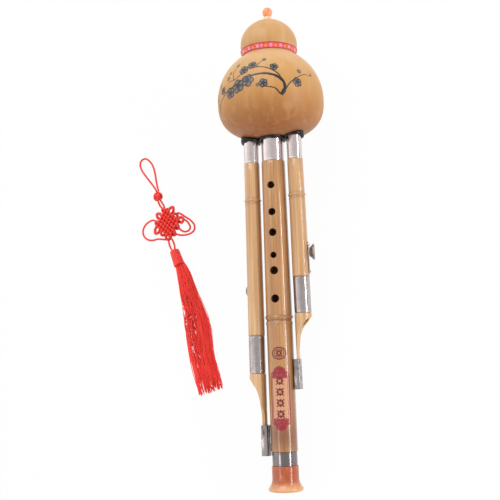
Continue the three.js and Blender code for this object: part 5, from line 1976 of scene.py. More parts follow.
@dataclass
class Drone:
    """One drone pipe with its ferrules, scarf-cut tail, clip, pin and stopper."""

    side: Side
    strip_half: float = 3.6
    tail_bore: float = 4.6
    clip_wall: float = 0.9
    clip_flange: float = 6
    crimp_shares: tuple[float, ...] = (0.2, 0.5, 0.8)
    pin_share: float = 0.36
    pin_radius: float = 0.7
    bumps: tuple[tuple[float, float, float, float], ...] = (
        (0.75, 0.1, 1.0, 0.75), (0.22, -3.0, 0.7, 0.7), (-0.22, -1.7, 0.45, 0.45),
    )
    scoop_shares: tuple[Triple, ...] = (
        (0, 1, 0), (0.05, 0.88, 0), (0.13, 0.66, 0), (0.22, 0.44, 0), (0.33, 0.22, 0), (0.5, 0.07, 0),
        (0.75, 0.01, 0), (1, 0, 0),
    )

    def build(self) -> None:
        """Makes the pieces and lets them ride."""
        side = self.side
        self.pipe()
        metal_sleeve(f"{side.name}_top_sleeve", f"{side.name}_top_ferrule", side.place(),
                     LAYOUT.side_ferrule_radius, LAYOUT.bamboo_top, LAYOUT.gourd_base + 2, BRIGHT_STEEL,
                     72)
        metal_sleeve(f"{side.name}_tail_sleeve", f"{side.name}_tail_ferrule", side.place(),
                     side.sleeve_radius, side.sleeve_foot, side.foot + LAYOUT.fit / 2, DULL_STEEL,
                     72)
        self.tail()
        self.clip()
        self.pin()
        DroneStopper(side).build()

    @property
    def bamboo(self) -> Bamboo:
        """The pale bamboo of this drone."""
        side = self.side
        return Bamboo(f"{side.name}_pale_bamboo", **PALE, node_height=side.node, foot_height=side.foot,
                      radius=side.foot_radius, foot_reach=1)

    @property
    def joint(self) -> float:
        """The height at which pipe and tail meet inside the tail ferrule."""
        return (self.side.foot + self.side.sleeve_foot) / 2

    @property
    def face(self) -> float:
        """The distance from the drone's axis to the tail's cut face, towards the main pipe."""
        return self.side.foot_radius - self.side.strip

    def pipe(self) -> None:
        """Makes the bamboo above the tail ferrule."""
        side, fit, edge = self.side, LAYOUT.fit, LAYOUT.side_edge
        foot, top, node, joint = side.foot, LAYOUT.bamboo_top, side.node, self.joint + LAYOUT.fit / 2
        wide, upper = side.foot_radius, LAYOUT.side_ferrule_radius - LAYOUT.ferrule_wall - fit
        taper = (LAYOUT.side_top_radius - wide) / side.length
        outline: Outline = [(side.tenon, joint), (side.tenon, foot + fit), (wide - edge, foot + fit)]
        outline.append((wide, foot + fit + edge))
        for rise in np.linspace(-6, 6, 33):
            outline.append((wide + taper * (node + rise - foot) + ridges(rise, self.bumps), node + rise))
        outline += [(LAYOUT.side_top_radius, top - edge), (LAYOUT.side_top_radius - edge / 2, top)]
        outline += [(upper, top), (upper, LAYOUT.reed_top), (0, LAYOUT.reed_top), (0, LAYOUT.reed_top - 3)]
        outline += [(side.top_bore, LAYOUT.reed_top - 3), (side.top_bore, top)]
        outline += [(side.bore, node), (side.bore, joint)]

        def bend(angle: np.ndarray, height: np.ndarray) -> np.ndarray:
            """A slight unroundness between the two ferrules."""
            return 0.12 * np.sin(2 * angle + height / 40) * (height < top - 2) * (height > foot + 2)

        pipe = turned(outline + outline[:1], 80, bend).piece(f"{side.name}_bamboo", side.place(),
                                                             [self.bamboo, SHADED_HOLE_WALL])
        hole = rod(side.plug_hole, 1, 12, 32).piece("plug_cutter", side.stopper_place(), [SHADED_HOLE_WALL])
        cut(pipe, [hole], Cutting.TAKE_AWAY)
        settle(pipe, Body.INSTRUMENT, [f"{side.name}_pipe"])

    def tail(self) -> None:
        """Makes the tail: a tube cut away in a long scoop that leaves a strip for the clip."""
        side, joint = self.side, self.joint - LAYOUT.fit / 2
        foot, top, radius = side.clip_foot, side.sleeve_foot - LAYOUT.fit, side.foot_radius
        outline = [(radius, foot), (radius, top), (side.tenon, top), (side.tenon, joint),
                   (self.tail_bore, joint), (self.tail_bore, foot), (radius, foot)]
        fine: Outline = []
        for (r0, h0), (r1, h1) in zip(outline, outline[1:]):
            steps = max(1, int(abs(h1 - h0) / 3))
            fine += [(r0 + (r1 - r0) * i / steps, h0 + (h1 - h0) * i / steps) for i in range(steps)]
        shape = turned(fine + fine[:1], 72)
        tail = shape.piece(f"{side.name}_scarf_tail", side.place(), [self.bamboo, CUT_FACE])
        cut(tail, [self.scoop(), self.pin_hole()], Cutting.TAKE_AWAY)
        cut(tail, [self.keeper()], Cutting.KEEP_INSIDE)
        bevelled(tail, 0.22)
        settle(tail, Body.INSTRUMENT, [f"{side.name}_tail"])

    def scoop(self) -> bpy.types.Object:
        """The cutter that hollows the tail's outer side in one long curve."""
        side = self.side
        wide, low = side.foot_radius + 2, side.clip_foot - 2
        fine = np.linspace(0, 1, 40)
        curve = smooth_line(self.scoop_shares, 0.01)
        line = [(-self.face + (wide + self.face) * w, side.sleeve_foot - side.scarf * d - LAYOUT.fit)
                for d, w in zip(fine, np.interp(fine, curve[:, 0], curve[:, 1]))]
        line += [(-self.face, low), (wide, low)]
        points = prism(line, -wide, wide, (wide - 0.5, side.clip_foot + 10)) * (side.sign, 1, 1)
        return Shape.grid(points).piece("scoop_cutter", side.place(), [CUT_FACE])

    def keeper(self) -> bpy.types.Object:
        """The outline seen from outside, in which the tail narrows to its strip."""
        side = self.side
        wide, half = side.foot_radius + 2, self.strip_half
        top, foot = side.sleeve_foot - side.scarf * 0.3, side.sleeve_foot - side.scarf * 0.85
        shares = np.linspace(0, 1, 14)
        bend = shares * shares * (3 - 2 * shares)
        slope = [(-wide + (wide - half) * b, top + (foot - top) * s) for b, s in zip(bend, shares)]
        left = [(-wide, self.joint + 2), *slope, (-half, side.clip_foot - 2)]
        outline = left + [(-z, h) for z, h in reversed(left)]
        points = prism(outline, -wide, wide, (0, side.clip_foot + 15))[..., [2, 1, 0]]
        return Shape.grid(points).piece("tail_keeper", side.place(), [CUT_FACE])

    def clip(self) -> None:
        """Makes the folded metal clip round the strip."""
        side, fit = self.side, LAYOUT.fit
        inner, outer = -side.foot_radius - fit, -self.face + fit
        pipe_side = -side.foot_radius - LAYOUT.clip_gap + 2 * fit
        pocket_half = self.strip_half + fit
        half, flange = pocket_half + self.clip_wall, self.clip_flange / 2
        front, back = inner - self.clip_wall, outer + self.clip_wall
        edge = [(pipe_side, flange), (front, flange), (front, half), (back, half)]
        ring = [(x, -z) for x, z in edge] + edge[::-1]
        soft = softened(ring + ring[:1], 1.2, 4)[:-1]
        body = drawn_out([(side.sign * x, z) for x, z in soft], side.clip_foot, side.clip_top)
        clip = body.piece(f"{side.name}_folded_clip", side.place(), [CLIP_STEEL])
        corners = ((inner, -pocket_half), (outer, -pocket_half), (outer, pocket_half), (inner, pocket_half))
        pocket = drawn_out([(side.sign * x, z) for x, z in corners], side.clip_foot - 2, side.clip_top + 2)
        cutters = [pocket.piece("pocket_cutter", side.place(), [CLIP_STEEL]), self.pin_hole()]
        for share in self.crimp_shares:
            height = side.clip_foot + side.clip_length * share
            middle = Matrix.Translation((side.sign * (back + 0.55), height, 0))
            lie = middle @ Matrix.Rotation(math.pi / 2, 4, "X")
            groove = rod(1.0, -half - 2, half + 2, 28).moved(lie)
            cutters.append(groove.piece("crimp_cutter", side.place(), [CLIP_STEEL]))
        cut(clip, cutters, Cutting.TAKE_AWAY, 30)
        bevelled(clip, 0.14, 45, 30)
        settle(clip, Body.INSTRUMENT, [f"{side.name}_tail_clip"])

    @property
    def pin_ends(self) -> tuple[float, float]:
        """The places of the pin's tip and of the clip's outer face along the drone's X axis."""
        tip = -self.side.foot_radius - LAYOUT.clip_gap - (LAYOUT.foot_radius - PipeForm.bore) * 0.6
        return tip, -self.face + LAYOUT.fit + self.clip_wall

    @property
    def across(self) -> Matrix:
        """A frame in millimetres at the pin's height, whose Y axis points outwards across the drone."""
        height = self.side.clip_foot + self.side.clip_length * self.pin_share
        return Matrix.Translation((0, height, 0)) @ Matrix.Rotation(-self.side.sign * math.pi / 2, 4, "Z")

    def pin_hole(self) -> bpy.types.Object:
        """The cutter for the pin's hole."""
        tip, head = self.pin_ends
        hole = rod(self.pin_radius + LAYOUT.fit / 2, tip - 1, head + 3, 20).moved(self.across)
        return hole.piece("pin_cutter", self.side.place(), [SHADED_HOLE_WALL])

    def pin(self) -> None:
        """Makes the domed pin that holds the clip."""
        tip, head = self.pin_ends
        rest, radius = head + LAYOUT.fit / 2, self.pin_radius
        outline: Outline = [(0, tip), (0.45, tip + 0.2), (radius, tip + 0.8), (radius, rest), (1.25, rest)]
        outline.append((1.3, rest + 0.12))
        outline += [(1.3 * math.cos(t), rest + 0.12 + 0.62 * math.sin(t)) for t in np.linspace(0.2, 1.4, 6)]
        outline.append((0, rest + 0.74))
        pin = turned(outline, 28).moved(self.across)
        piece = pin.piece(f"{self.side.name}_domed_pin", self.side.place(), [DULL_STEEL])
        settle(piece, Body.INSTRUMENT, [f"{self.side.name}_clip_pin"])


@dataclass
class DroneStopper:
    """The pull stopper on a drone's side with its nailed plate."""

    side: Side
    radius: float = 6.8
    neck: float = 4
    height: float = 4.2
    plug: float = 2.1
    plate_width: float = 6.4
    plate_thickness: float = 0.6
    nail_radius: float = 0.55
    nail_inset: float = 2.2

    def build(self) -> None:
        """Makes the knob, the plate and the two nails."""
        neck, wide = self.neck, self.radius
        base = self.side.foot_radius + self.plate_thickness + LAYOUT.fit
        top = base + self.height
        tip = self.side.bore - 2
        outline: Outline = [(0, tip), (self.plug - 0.4, tip), (self.plug, tip + 0.5), (self.plug, base)]
        outline += [(neck, base), (neck + 0.1, base + 0.6), (neck + 0.7, base + 1.2)]
        outline.append((wide * 0.78, base + 1.9))
        outline += [(wide - 0.3, top - 1.35), (wide, top - 0.9), (wide, top - 0.35), (wide - 0.35, top)]
        outline += [(wide - 1.3, top + 0.02), (wide - 1.6, top - 0.14), (wide - 2.0, top - 0.1)]
        outline += [(wide * 0.4, top + 0.22), (0, top + 0.35)]
        shape = turned(softened(outline, 0.25), 80)
        knob = shape.piece(f"{self.side.name}_pull_knob", self.side.stopper_place(), [KNOB_STEEL], 30)
        settle(knob, self.side.stopper_body, [f"{self.side.name}_drone_stopper"])
        self.plate()
        self.nails()

    @property
    def ends(self) -> tuple[float, float]:
        """The places of the plate's foot and top along it, with the knob at zero."""
        length, share = self.side.plate_length, self.side.plate_share
        return -length * share, length * (1 - share)

    @property
    def rises(self) -> tuple[float, float]:
        """The nails' places along the plate, upper first."""
        foot, top = self.ends
        return top - self.nail_inset, foot + self.nail_inset

    def plate(self) -> None:
        """Makes the thin plate under the knob, rounded at its ends."""
        place, seat, half = self.side.stopper_place(), self.side.foot_radius, self.plate_width / 2
        foot, top = self.ends
        round_it: Outline = []
        for middle, start in ((top - half, 0.0), (foot + half, math.pi)):
            turns = np.linspace(start, start + math.pi, 13)
            round_it += [(half * math.cos(t), middle + half * math.sin(t)) for t in turns]
        shape = drawn_out(round_it, seat, seat + self.plate_thickness)
        plate = shape.piece(f"{self.side.name}_seat_plate", place, [BRIGHT_STEEL])
        cutters = [rod(self.side.plug_hole, 0, seat + 3, 32).piece("plug_cutter", place, [BRIGHT_STEEL])]
        for rise in self.rises:
            hole = rod(self.nail_radius + LAYOUT.fit / 2, 0, seat + 3, 20)
            hole = hole.moved(Matrix.Translation((0, 0, rise)))
            cutters.append(hole.piece("nail_cutter", place, [BRIGHT_STEEL]))
        cut(plate, cutters, Cutting.TAKE_AWAY)
        bevelled(plate, 0.12, 45)
        settle(plate, Body.INSTRUMENT, [f"{self.side.name}_stopper_plate"])

    def nails(self) -> None:
        """Makes the two domed nails that hold the plate."""
        seat, radius = self.side.foot_radius, self.nail_radius
        head = seat + self.plate_thickness + LAYOUT.fit / 2
        for label, rise in zip(("upper", "lower"), self.rises):
            outline: Outline = [(0, seat - 1.6), (0.3, seat - 1.2), (radius, seat - 0.6)]
            outline += [(radius, head), (1.12, head)]
            turns = np.linspace(0.1, 1.45, 7)
            outline += [(1.15 * math.cos(t), head + 0.1 + 0.6 * math.sin(t)) for t in turns]
            outline.append((0, head + 0.7))
            shape = turned(outline, 28).moved(Matrix.Translation((0, 0, rise)))
            name = f"{self.side.name}_domed_nail_{label}"
            nail = shape.piece(name, self.side.stopper_place(), [BRIGHT_STEEL])
            settle(nail, Body.INSTRUMENT, [f"{self.side.name}_plate_nail_{label}"])


# The tassel


@dataclass
class TasselCords:
    """The tassel's loops of satin cord and its woven endless knot."""

    diameter: float = 1.8
    knot_diameter: float = 2.4
    lines: int = 6
    pitch: float = 3.4
    lift: float = 1.75
    sag_share: float = 0.8
    edge_share: float = 0.62
    loop_share: float = 1.35
    reach_share: float = 1.1
    corner_share: float = 0.6
    narrowing: float = 39
    turn: float = 99.8
    place: tuple[float, float] = (-114.7, 33.2)
    fuller: float = 0.13
    hanging_loop: tuple[Triple, ...] = (
        (-126.4, 65.1, 4.4), (-127.7, 67.2, 3.2), (-131.2, 71.8, 1.4), (-138, 80.7, 1), (-143.6, 88.6, 1),
        (-145.6, 94, 1), (-144.6, 98.6, 1), (-140.5, 100.3, 1), (-136.1, 97.6, 1), (-132.3, 92.2, 1),
        (-130, 85, 1), (-128.1, 75.4, 1.2), (-125.7, 68.4, 3.1), (-124.4, 65.5, 4.3),
    )
    left_ear: tuple[Triple, ...] = (
        (-127.5, 36.8, 2.4), (-130.2, 38, 1.6), (-134, 37.4, 1), (-138.6, 34.2, 1), (-141, 29, 1),
        (-140.2, 23.9, 1), (-136.4, 19.9, 1), (-131, 18.6, 1), (-126, 19.4, 1), (-121.4, 18.8, 1.6),
        (-117.2, 18, 2.3),
    )
    right_ear: tuple[Triple, ...] = (
        (-105, 42.9, 2.4), (-102.2, 41.6, 1.8), (-98.2, 38.8, 1), (-92.8, 35, 1), (-88.9, 29.9, 1),
        (-89, 25.2, 1), (-93, 22.1, 1), (-98.8, 21.2, 1), (-102.2, 21.3, 1.5), (-105.9, 22.2, 2.3),
    )
    inner_ear: tuple[Triple, ...] = (
        (-97.5, 35.3, 2.5), (-95.9, 33.9, 2), (-94.6, 32.1, 1.2), (-93, 28.4, 1), (-94.2, 25.5, 1),
        (-97.6, 24.4, 1), (-100.4, 25, 1.5), (-102.9, 27, 2.3),
    )
    neck_left: tuple[Triple, ...] = (
        (-124.4, 55.1, 4.2), (-123.9, 53, 3.6), (-122.8, 50.6, 2.8), (-121, 48.3, 2.5),
    )
    neck_right: tuple[Triple, ...] = (
        (-122.1, 55.9, 4.2), (-121.1, 54.1, 3.6), (-119.9, 52, 2.8), (-118.7, 49.1, 2.6),
    )
    tail_left: tuple[Triple, ...] = (
        (-113.9, 17.1, 2.4), (-113.2, 13, 2.6), (-111.2, 9.2, 3.9), (-108.9, 5.9, 5),
    )
    tail_right: tuple[Triple, ...] = (
        (-110.8, 18.2, 2.4), (-109, 14.8, 2.6), (-107.2, 10.6, 3.9), (-106.6, 6.8, 5),
    )

    def build(self) -> None:
        free = [self.cord("hanging_loop", "hanging_loop", self.hanging_loop),
                self.cord("left_ear", "left_ear", self.left_ear),
                self.cord("right_ear", "right_ear", self.right_ear)]
        bound = [self.cord("neck_left", "neck_cord_left", self.neck_left)[0],
                 self.cord("neck_right", "neck_cord_right", self.neck_right)[0],
                 self.cord("tail_left", "tail_cord_left", self.tail_left)[0],
                 self.cord("tail_right", "tail_cord_right", self.tail_right)[0],
                 self.cord("inner_ear", "right_inner_ear", self.inner_ear)[0]]
        line = smooth_line(self.knot_points(), self.knot_diameter / 4)
        shape = tube(line, self.knot_diameter / 2 + self.fuller, 14)
        shape.corners[:, 2] = np.maximum(shape.corners[:, 2], 0.01)
        knot = shape.piece("woven_knot", Matrix.Identity(4), [CORD], 60)
        settle(knot, Body.TASSEL, ["tassel_endless_knot"])
        self.declare(knot, line, self.knot_diameter, bound)
        for thing, middle in free:
            self.declare(thing, middle, self.diameter, [])

    def cord(self, name: str, node: str, route: Sequence[Triple]) -> tuple[bpy.types.Object, np.ndarray]:
        """One stretch of cord on its route.

        Args:
            name: The start of the piece's name.
            node: The end of the CAD node's name.
            route: Points that its middle goes through.

        Returns:
            The piece, and the points of its middle.
        """
        line = smooth_line(route, self.diameter / 3)
        thing = tube(line, self.diameter / 2, 14).piece(f"{name}_cord", Matrix.Identity(4), [CORD], 60)
        settle(thing, Body.TASSEL, [f"tassel_{node}"])
        return thing, line

    @staticmethod
    def declare(thing: bpy.types.Object, line: np.ndarray, diameter: float,
                others: Sequence[bpy.types.Object]) -> None:
        """Takes a piece of cord and does nothing with it.

        Args:
            thing: The piece. Not used.
            line: The points of its middle. Not used.
            diameter: Its thickness. Not used.
            others: Pieces that belong to the same cord. Not used.
        """

    def knot_points(self) -> list[Triple]:
        """The route of the knot's cord: to and fro one way, round a corner and to and fro the other way."""
        last, half = self.lines - 1, self.pitch / 2
        places = [(number - last / 2) * self.pitch for number in range(self.lines)]
        edge = places[last] + self.pitch * self.edge_share
        loop_end = edge + self.pitch * self.reach_share
        angle, swing = math.radians(self.narrowing), math.radians(self.turn)
        route: list[Triple] = []

        def across(p: float, q: float, z: float) -> None:
            """Adds a point on the lines that run one way.

            Args:
                p: The line's place.
                q: The place along it.
                z: The height over the weave's middle.
            """
            x, y = (p + q) * math.cos(angle), (q - p) * math.sin(angle)
            turned_x = x * math.cos(swing) - y * math.sin(swing)
            turned_y = x * math.sin(swing) + y * math.cos(swing)
            rise = z + self.lift + self.knot_diameter / 2
            route.append((turned_x + self.place[0], turned_y + self.place[1], rise))

        def along(q: float, p: float, z: float) -> None:
            """Adds a point on the lines that run the other way."""
            across(p, q, z)

        def weave(put: Callable[[float, float, float], None], way: int, lift: float,
                  looped: Sequence[int]) -> None:
            """Adds the lines of one way with the bends between them.

            Args:
                put: What adds a point.
                way: The direction of the first line.
                lift: The height over the first crossing.
                looped: The lines that end in a small loop.
            """
            for number, place in enumerate(places):
                heading = way if number % 2 == 0 else -way
                for crossed in range(self.lines)[::heading]:
                    put(place, places[crossed], lift if (number + crossed) % 2 == 0 else -lift)
                if number == last:
                    break
                ends_on = last if heading > 0 else 0
                sag = (lift if (number + ends_on) % 2 == 0 else -lift) * self.sag_share
                middle = place + half
                put(middle - half, heading * edge, sag)
                if number in looped:
                    reach = heading * (edge + loop_end) / 2
                    put(middle - half * self.loop_share, reach, 0)
                    put(middle, heading * (loop_end + half / 2), 0)
                    put(middle + half * self.loop_share, reach, 0)
                else:
                    put(middle, heading * (edge + half), 0)
                put(middle + half, heading * edge, -sag)

        corner = edge + self.pitch * self.corner_share
        sag = self.lift * self.sag_share
        across(places[0], -edge, sag)
        weave(across, 1, self.lift, (2,))
        across(places[last], -edge, -sag)
        across(places[last] + half / 2, -corner, 0)
        across(corner, -corner, 0)
        across(corner, places[0] - half / 2, 0)
        across(edge, places[0], sag)
        weave(along, -1, -self.lift, (3, 4))
        across(edge, places[last], -sag)
        return route


@dataclass
class ButtonKnot:
    """The round button knot, a ball wound from one cord."""

    radius: float = 4.3
    centre: tuple[float, float, float] = (-125, 60.1, 4.3)
    cord: float = 1.7
    lean: float = 20.8

    def build(self) -> None:
        """Makes the wound ball."""
        turn = np.linspace(0, FULL_TURN, 400)
        middle = self.radius - self.cord * 0.42
        reach = middle + 0.32 * np.cos(7 * turn)
        tilt = 1.12 * np.sin(4 * turn)
        flat, round_it = reach * np.cos(tilt), 3 * turn
        line = [flat * np.cos(round_it), reach * np.sin(tilt) * 1.08, flat * np.sin(round_it)]
        line = np.stack(line, axis=-1)
        wound = tube(evenly(line, 0.45), self.cord / 2, 12)
        turns = np.linspace(0.15, 2.99, 24)
        arc = [(middle * 0.9 * math.sin(t), -middle * math.cos(t)) for t in turns]
        core = turned([(0, -middle), *arc, (0, middle)], 32)
        lean = Matrix.Rotation(math.radians(self.lean), 4, "Z")
        place = Matrix.Translation(Vector(self.centre) * MM) @ lean
        knot = Shape.joined([wound, core]).piece("button_knot", place, [CORD], 60)
        settle(knot, Body.TASSEL, ["tassel_button_knot"])


@dataclass
class HeadWrap:
    """The tassel's head, bound with thread."""

    radius: float = 4.5
    flare: float = 0.7
    length: float = 15
    place: tuple[float, float] = (-106.9, 6)
    lean: float = 20.8
    thread: float = 0.75

    def build(self) -> None:
        """Makes the bound head, with each turn of thread as a ridge."""
        steps = int(self.length / self.thread * 6)
        outline: Outline = [(0, 0.4), (self.radius * 0.4, 0.35), (self.radius * 0.75, 0.05)]
        for i in range(1, steps):
            share = i / steps
            radius = self.radius + self.flare * share**1.5 - 0.35 * math.exp(-share * 14)
            outline.append((radius - 0.13, -self.length * share))
        outline += [(self.radius + self.flare - 0.6, -self.length), (0, -self.length)]

        def ridge(angle: np.ndarray, height: np.ndarray) -> np.ndarray:
            """How far the threads stand out at an angle and a height."""
            return 0.15 * np.abs(np.cos(math.pi * height / self.thread + angle / 2)) * (height < -0.1)

        middle = Vector((*self.place, self.radius + self.flare))
        place = Matrix.Translation(middle * MM) @ Matrix.Rotation(math.radians(self.lean), 4, "Z")
        head = turned(outline, 56, ridge).piece("bound_head", place, [CORD], 60)
        settle(head, Body.TASSEL, ["tassel_head_wrap"])


@dataclass
class Fall:
    """How the fringe falls.

    Attributes:
        fine: Its middle line.
        wide: Its half width along that line.
        tall: Its height along that line.
        side: The sideways direction along that line.
        spots: The clumps' places across.
        levels: The clumps' places in height.
        gaps: Each parting's place and half width across, and its place and reach along.
        cuts: How much shorter each clump is.
    """

    fine: np.ndarray
    wide: np.ndarray
    tall: np.ndarray
    side: np.ndarray
    spots: np.ndarray
    levels: np.ndarray
    gaps: list[tuple[float, float, float, float]]
    cuts: np.ndarray


@dataclass
class Fringe:
    """The tassel's fringe of loose silk threads."""

    count: int = 560
    segments: int = 40
    sides: int = 4
    thread: float = 0.26
    line: tuple[tuple[float, float], ...] = (
        (-103.0, -5.5), (-101, -8.6), (-97.1, -18), (-93.2, -32), (-85.3, -60.5), (-80.5, -88.3),
        (-73.7, -114), (-70.7, -125),
    )
    half_widths: tuple[float, ...] = (4.0, 5.6, 7.7, 9.4, 12.1, 10.9, 11, 10.6)
    heights: tuple[float, ...] = (8.6, 9.2, 9.2, 8, 5.6, 4.4, 3.4, 3)
    clumps: int = 34
    partings: int = 46
    end_partings: int = 9

    def build(self) -> None:
        """Makes all the threads as one piece."""
        rng = np.random.default_rng(5)
        fall = self.fall(rng)
        threads = [self.strand(rng, number, fall) for number in range(self.count)]
        fringe = Shape.joined(threads).piece("silk_fringe", Matrix.Identity(4), [SILK], 80)
        settle(fringe, Body.TASSEL, ["tassel_fringe"])

    def fall(self, rng: np.random.Generator) -> Fall:
        """Draws the fringe's clumps and partings.

        Args:
            rng: What draws them.

        Returns:
            How the fringe falls.
        """
        centre = np.array([(x, y, 0.0) for x, y in self.line])
        fine = smooth_line(centre, 0.5)
        known = np.concatenate([[0], np.cumsum(np.linalg.norm(np.diff(centre, axis=0), axis=1))])
        share = np.linspace(0, 1, len(fine))
        wide = np.interp(share, known / known[-1], self.half_widths)
        tall = np.interp(share, known / known[-1], self.heights)
        ahead = np.gradient(fine, axis=0)
        ahead /= np.linalg.norm(ahead, axis=1, keepdims=True)
        side = np.stack([-ahead[:, 1], ahead[:, 0], np.zeros(len(fine))], axis=-1)
        spots = rng.uniform(-0.92, 0.92, self.clumps)
        levels = rng.uniform(-0.8, 0.9, self.clumps)
        gaps = [(rng.uniform(-0.85, 0.15), rng.uniform(0.06, 0.11), rng.uniform(0.28, 0.82),
                 rng.uniform(0.04, 0.08)) for _ in range(self.partings)]
        gaps += [(rng.uniform(-0.9, 0.9), rng.uniform(0.05, 0.1), 1.0, rng.uniform(0.05, 0.12))
                 for _ in range(self.end_partings)]
        return Fall(fine, wide, tall, side, spots, levels, gaps, rng.uniform(0, 0.05, self.clumps))

    def strand(self, rng: np.random.Generator, number: int, fall: Fall) -> Shape:
        """One thread of the fringe.

        Args:
            rng: What makes it its own.
            number: Its place in the count.
            fall: How the fringe falls.

        Returns:
            The thread as a thin tube.
        """
        t = np.linspace(0, 1, self.segments)
        clump = number % self.clumps
        start = np.array([rng.uniform(-0.92, 0.92), rng.uniform(-0.9, 0.9)])
        start /= max(1, np.hypot(*start) / 0.95)
        end = np.array([fall.spots[clump] + rng.normal(0, 0.07), fall.levels[clump] + rng.normal(0, 0.2)])
        gather = np.clip(t * 1.8, 0, 1)
        across = start[0] * (1 - gather) + end[0] * gather
        rise = start[1] * (1 - gather) + end[1] * gather
        waves = rng.uniform(0, FULL_TURN, 3)
        across = across + t * (0.07 * np.sin(5 * t + waves[0]) + 0.04 * np.sin(13 * t + waves[1]))
        loose = rng.random() < 0.06
        length = 1 - fall.cuts[clump] - abs(rng.normal(0, 0.02))
        length -= rng.uniform(0, 0.14) if rng.random() < 0.2 else 0
        for spot, half, at, reach in fall.gaps:
            wider = half * np.exp(-(((t - at) / reach) ** 2))
            away = across - spot
            pushed = spot + np.where(away < 0, -1, 1) * (wider + np.abs(away) / 2)
            across = np.where(np.abs(away) < 2 * wider, pushed, across)
        if loose:
            across = across + t**2 * rng.uniform(-0.35, 0.35)
        index = t * length * (len(fall.fine) - 1)
        at = index.astype(int)
        middle = np.stack([np.interp(index, np.arange(len(fall.fine)), row) for row in fall.fine.T], axis=-1)
        line = middle + fall.side[at] * (fall.wide[at] * across)[:, None]
        lift = fall.tall[at] / 2 * (1 + np.clip(rise, -1, 1) * np.sqrt(np.clip(1 - across**2, 0.1, 1)))
        lowest = self.thread + 0.02
        line[:, 2] = np.maximum(np.maximum(lift - 0.4, lowest) + 0.12 * np.sin(17 * t + waves[2]) * t, lowest)
        shape = tube(line, self.thread * rng.uniform(0.7, 1.05), self.sides)
        shape.places[:, 0] += number * 3.7
        return shape


# The studio


